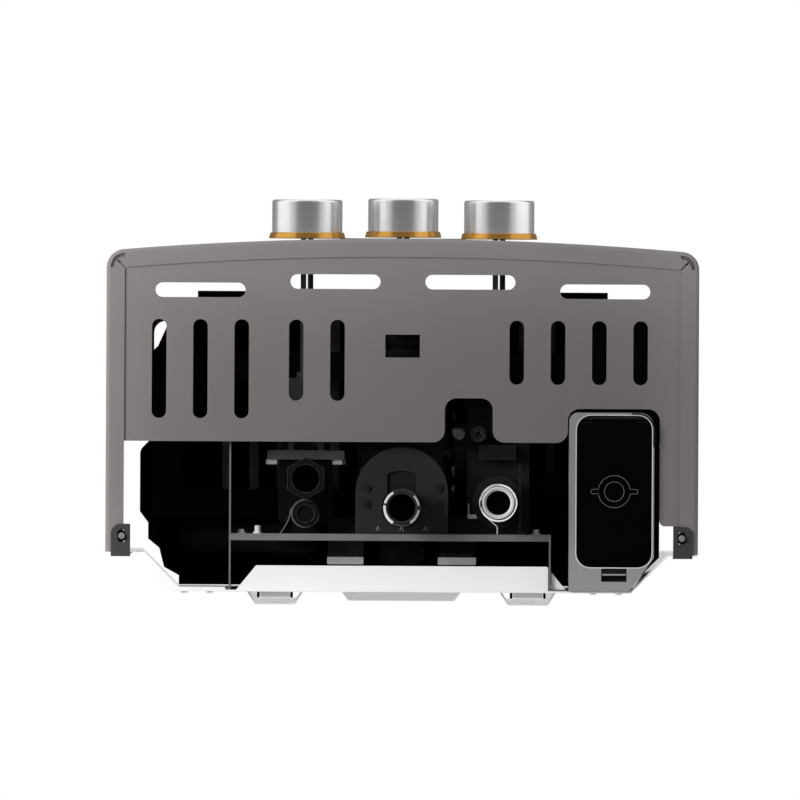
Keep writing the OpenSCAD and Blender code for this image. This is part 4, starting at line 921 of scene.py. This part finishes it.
def add_rail_blocks():
    """Spacer in the foot of each wall rail, with a black strip at each end that is painted shade of the
    rail's side walls.
    """
    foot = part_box("wall_rails")[0].z
    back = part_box("back_plate")[1].y
    middle, half, deep = 69.6 * MM, 8.2 * MM, 3 * MM
    blocks, strips = [], []
    for side in (-1, 1):
        x, z0, z1 = side * middle, foot + 1 * MM, foot + 14 * MM
        blocks.append(chamfered_box((x - half, back, z0), (x + half, back + deep, z1), 0.3 * MM))
        for end in (-1, 1):
            a, b = sorted((x + end * 8.4 * MM, x + end * 9.9 * MM))
            strips.append(chamfered_box((a, back, z0), (b, back + 3.2 * MM, z1), 0.2 * MM))
    add_piece("rail_spacers", *merge(blocks), "white_paint")
    # Black strips that paint the shade of the rail's side walls
    add_piece("rail_shade_strips", *merge(strips), "black_plastic")


def add_door_highlight_line():
    """Bright wire round the battery door's opening, a painted highlight of its edge."""
    low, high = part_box("battery_door")
    gap, r = 0.5 * MM, 8 * MM
    x0, x1 = low.x - gap, high.x + gap
    y0, y1 = low.y - gap, high.y + gap
    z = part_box("battery_case")[0].z + 0.1 * MM
    corners = ((x1 - r, y1 - r, 0), (x0 + r, y1 - r, 90), (x0 + r, y0 + r, 180), (x1 - r, y0 + r, 270))
    path = []
    for x, y, begin in corners:
        for step in range(7):
            a = math.radians(begin + 15 * step)
            path.append((x + r * math.cos(a), y + r * math.sin(a), z))
    path.append(path[0])
    add_piece("door_highlight_line", *wire(path, 0.32 * MM), "bright_steel", CUT_FACE)


def add_lock_highlight_lines():
    """Grey wire round the lock disc and its two ears, and round its hub, a painted highlight of their edges.
    """
    low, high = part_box("door_lock")
    x, y = (low.x + high.x) / 2, (low.y + high.y) / 2
    z = low.z + 0.1 * MM
    r, hub, reach, half = 8.85, 5.4, 12.85, 1.25
    begin = math.degrees(math.asin(half / r))
    ear = [(reach - 0.8, half), (reach - 0.25, half * 0.75), (reach, half * 0.3)]
    ear += [(a, -b) for a, b in reversed(ear)]
    arc = [math.radians(begin + (180 - 2 * begin) * i / 16) for i in range(17)]
    rim = [(r * math.cos(a), r * math.sin(a)) for a in arc]
    rim += [(-a, b) for a, b in ear]
    rim += [(-r * math.cos(a), -r * math.sin(a)) for a in arc]
    rim += [(a, b) for a, b in reversed(ear)]
    rim.append(rim[0])
    ring = [(hub * math.cos(a), hub * math.sin(a)) for a in (math.pi * i / 16 for i in range(33))]
    lines = [wire([(x + a * MM, y + b * MM, z) for a, b in path], 0.14 * MM) for path in (rim, ring)]
    add_piece("lock_highlight_lines", *merge(lines), "black_plastic", FINISHES["grey_plastic"], "lock")


def add_latch_rib():
    """Pale grip line across the door latch."""
    low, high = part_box("door_latch")
    y = high.y - 0.8 * MM
    rib = chamfered_box(
        (low.x + 1.4 * MM, y - 0.45 * MM, low.z - 0.15 * MM),
        (high.x - 1.4 * MM, y + 0.45 * MM, low.z + MM),
        0.2 * MM,
    )
    add_piece("latch_rib", *rib, "grey_plastic", body="latch")


def strip(inner, outer, z0, z1):
    """Level strip between two lines of points."""
    count = len(inner)
    points = [(*place, z) for z in (z0, z1) for line in (inner, outer) for place in line]
    faces = []
    for i in range(count - 1):
        for a, b in ((0, 1), (1, 3), (3, 2), (2, 0)):
            faces.append([a * count + i, b * count + i, b * count + i + 1, a * count + i + 1])
    faces += [[0, 2 * count, 3 * count, count], [count - 1, 2 * count - 1, 4 * count - 1, 3 * count - 1]]
    return points, faces


def corner_line(x, y, radius, degrees):
    """Points along an arc."""
    turn = [math.radians(a) for a in degrees]
    return [(x + radius * math.cos(a), y + radius * math.sin(a)) for a in turn]


def add_corner_shade_strip():
    """Black strip round the front right corner of the battery door, painted shade of the frame there."""
    low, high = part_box("battery_door")
    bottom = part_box("battery_case")[0].z
    x, y = high.x - 7.5 * MM, low.y + 7.5 * MM
    back, left = 9.5 * MM, -3.5 * MM
    lines = []
    for radius in (8.4 * MM, 9.3 * MM):
        arc = corner_line(x, y, radius, range(0, -91, -10))
        lines.append([(x + radius, y + back)] + arc + [(x + left, y - radius)])
    add_piece("corner_shade_strip", *strip(*lines, bottom - 0.25 * MM, bottom), "black_plastic", PAINTED_SHADE_BAY)


def add_wing_seal():
    """White sealing strip along the foot of the left wing and of the flat next to it."""
    inner = [(-141.3 * MM, -28.5 * MM), (-122.4 * MM, -9.6 * MM), (-97 * MM, -9.6 * MM)]
    outer = [(-146.3 * MM, -28.3 * MM), (-125.8 * MM, -7.8 * MM), (-97 * MM, -7.8 * MM)]
    add_piece("wing_seal", *strip(inner, outer, level(0.1), level(0.9)), "white_paint")


def add_relief_backs():
    """Plates behind the relief slots of the front lip corners, in a darker copy of the cover paint that is
    painted shade.
    """
    x, y = 153 * MM, -185.1 * MM
    parts = []
    for side in (-1, 1):
        lines = []
        for radius in (4.7 * MM, 7.5 * MM):
            arc = corner_line(x, y, radius, range(-100, 11, 10))
            lines.append([(side * a, b) for a, b in arc])
        parts.append(strip(*lines, level(1), level(1.6)))
    # Darker copy of the cover paint, painted shade in the relief slots
    shaded = powder_coat(
        "relief_shade_paint", (0.1, 0.094, 0.092), (0.095, 0.089, 0.087), (0.13, 0.12, 0.12), (0.45, 0.55)
    )
    add_piece("relief_backs", *merge(parts), "cover_paint", shaded)


add_valve_heads()
add_lock_highlight_lines()
add_latch_rib()
add_corner_shade_strip()
add_relief_backs()
add_wing_seal()
add_comb_plates()
add_rail_blocks()
add_door_highlight_line()
add_back_rivets()
add_bracket_combs()
add_flange_nuts()
add_cover_bolts()
add_bridge_bolts()
add_plate_clips()
add_wire_clips()
add_valve_clip()


# Stage


def aim(obj, place, target, up="Y"):
    """Puts a lamp or camera at a place, looking at a target."""
    obj.location = place
    obj.rotation_euler = (Vector(target) - Vector(place)).to_track_quat("-Z", up).to_euler()


def make_camera():
    """Long lens straight below the case, with the front at the top of the picture."""
    data = bpy.data.cameras.new("underside_camera")
    data.lens = LENS
    data.sensor_width = SENSOR
    data.clip_start = 1.0
    data.clip_end = 100.0
    camera = bpy.data.objects.new("underside_camera", data)
    bpy.context.collection.objects.link(camera)
    distance = LENS * PICTURE_WIDTH / SENSOR
    turn = Matrix.Rotation(math.pi, 4, "X") @ Matrix.Rotation(PICTURE_TILT, 4, "Z")
    camera.matrix_world = Matrix.Translation((*PICTURE_MIDDLE, UNDERSIDE - distance)) @ turn
    bpy.context.scene.camera = camera


def make_softbox(name, place, target, size, power):
    """Square soft lamp."""
    data = bpy.data.lights.new(name, "AREA")
    data.size = size
    data.energy = power
    lamp = bpy.data.objects.new(name, data)
    bpy.context.collection.objects.link(lamp)
    lamp.visible_glossy = False
    aim(lamp, place, target)


def make_card(name, low, high, z, tone):
    """Level grey card that only reflections see."""
    mesh = bpy.data.meshes.new(name)
    (x0, y0), (x1, y1) = low, high
    corners = [(x0, y0, z), (x1, y0, z), (x1, y1, z), (x0, y1, z)]
    mesh.from_pydata(corners, [], [(0, 1, 2, 3)])
    card = bpy.data.objects.new(name, mesh)
    bpy.context.collection.objects.link(card)
    material, shader = new_finish(name, specular=0.0)
    shader.inputs["Base Color"].default_value = (0, 0, 0, 1)
    shader.inputs["Emission Color"].default_value = (tone, tone, tone, 1)
    shader.inputs["Emission Strength"].default_value = 1.0
    mesh.materials.append(material)
    for kind in ("camera", "diffuse", "transmission", "volume_scatter", "shadow"):
        setattr(card, f"visible_{kind}", False)


def make_world(light):
    """White background, with a lower level of light on the object."""
    world = bpy.data.worlds.new("studio")
    world.use_nodes = True
    tree = world.node_tree
    sky = tree.nodes["Background"]
    sky.inputs["Color"].default_value = (1, 1, 1, 1)
    rays = add_node(tree, "ShaderNodeLightPath")
    seen = add_node(tree, "ShaderNodeMath", operation="MAXIMUM")
    shown = add_node(tree, "ShaderNodeMath", operation="MAXIMUM")
    strength = spread_range(tree, (0.0, 1.0), (light, 1.0))
    join = tree.links.new
    join(rays.outputs["Is Camera Ray"], seen.inputs[0])
    join(rays.outputs["Is Glossy Ray"], seen.inputs[1])
    join(seen.outputs["Value"], shown.inputs[0])
    join(rays.outputs["Is Transmission Ray"], shown.inputs[1])
    join(shown.outputs["Value"], strength.inputs["Value"])
    join(strength.outputs["Result"], sky.inputs["Strength"])
    bpy.context.scene.world = world


def make_floor(half, drop):
    """Pale floor below the case, clear when it is looked at from underneath."""
    mesh = bpy.data.meshes.new("floor")
    corners = [(-half, -half, 0), (half, -half, 0), (half, half, 0), (-half, half, 0)]
    mesh.from_pydata(corners, [], [(0, 1, 2, 3)])
    floor = bpy.data.objects.new("floor", mesh)
    bpy.context.collection.objects.link(floor)
    floor.location.z = LOWEST - drop
    material, shader = new_finish("pale_floor", specular=0.0)
    shader.inputs["Base Color"].default_value = (0.9, 0.9, 0.9, 1)
    tree = material.node_tree
    rays = add_node(tree, "ShaderNodeLightPath")
    facing = add_node(tree, "ShaderNodeNewGeometry")
    passing = add_node(tree, "ShaderNodeMath", operation="MAXIMUM")
    open_way = add_node(tree, "ShaderNodeMath", operation="MAXIMUM")
    clear = add_node(tree, "ShaderNodeBsdfTransparent")
    mix = add_node(tree, "ShaderNodeMixShader")
    join = tree.links.new
    join(rays.outputs["Is Shadow Ray"], passing.inputs[0])
    join(rays.outputs["Is Glossy Ray"], passing.inputs[1])
    join(passing.outputs["Value"], open_way.inputs[0])
    join(facing.outputs["Backfacing"], open_way.inputs[1])
    join(open_way.outputs["Value"], mix.inputs["Fac"])
    join(shader.outputs["BSDF"], mix.inputs[1])
    join(clear.outputs["BSDF"], mix.inputs[2])
    join(mix.outputs["Shader"], tree.nodes["Material Output"].inputs["Surface"])
    mesh.materials.append(material)


WORLD_LIGHT = 0.28
FLOOR_HALF = 4.0
FLOOR_DROP = 4 * MM
CARDS_BELOW = -1.9
CARDS_ABOVE = 1.6
MIDDLE = (cad_box[0] + cad_box[1]) / 2
BELOW = (0, MIDDLE.y, UNDERSIDE)
KNOB_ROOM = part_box("gas_ring")[1].y

make_camera()
make_world(WORLD_LIGHT)
make_floor(FLOOR_HALF, FLOOR_DROP)
make_card("dim_card_below", (-1.25, -3), (1.25, KNOB_ROOM), CARDS_BELOW, 0.28)
make_card("dark_card_below", (-2.5, KNOB_ROOM), (2.5, 3), CARDS_BELOW, 0.012)
make_card("left_card_above", (-4.5, -4), (-0.3, 4), CARDS_ABOVE, 0.25)
make_card("right_card_above", (0.3, -4), (4.5, 4), CARDS_ABOVE, 0.25)
make_softbox("left_below", (-0.85, -0.4, UNDERSIDE - 0.75), BELOW, 0.6, 15)
make_softbox("front_above", (-0.9, -1.8, 1.1), MIDDLE, 1.4, 45)
make_softbox("back_above", (1.2, 1.7, 1.0), MIDDLE, 1.4, 30)

bpy.context.scene.view_settings.view_transform = "Standard"
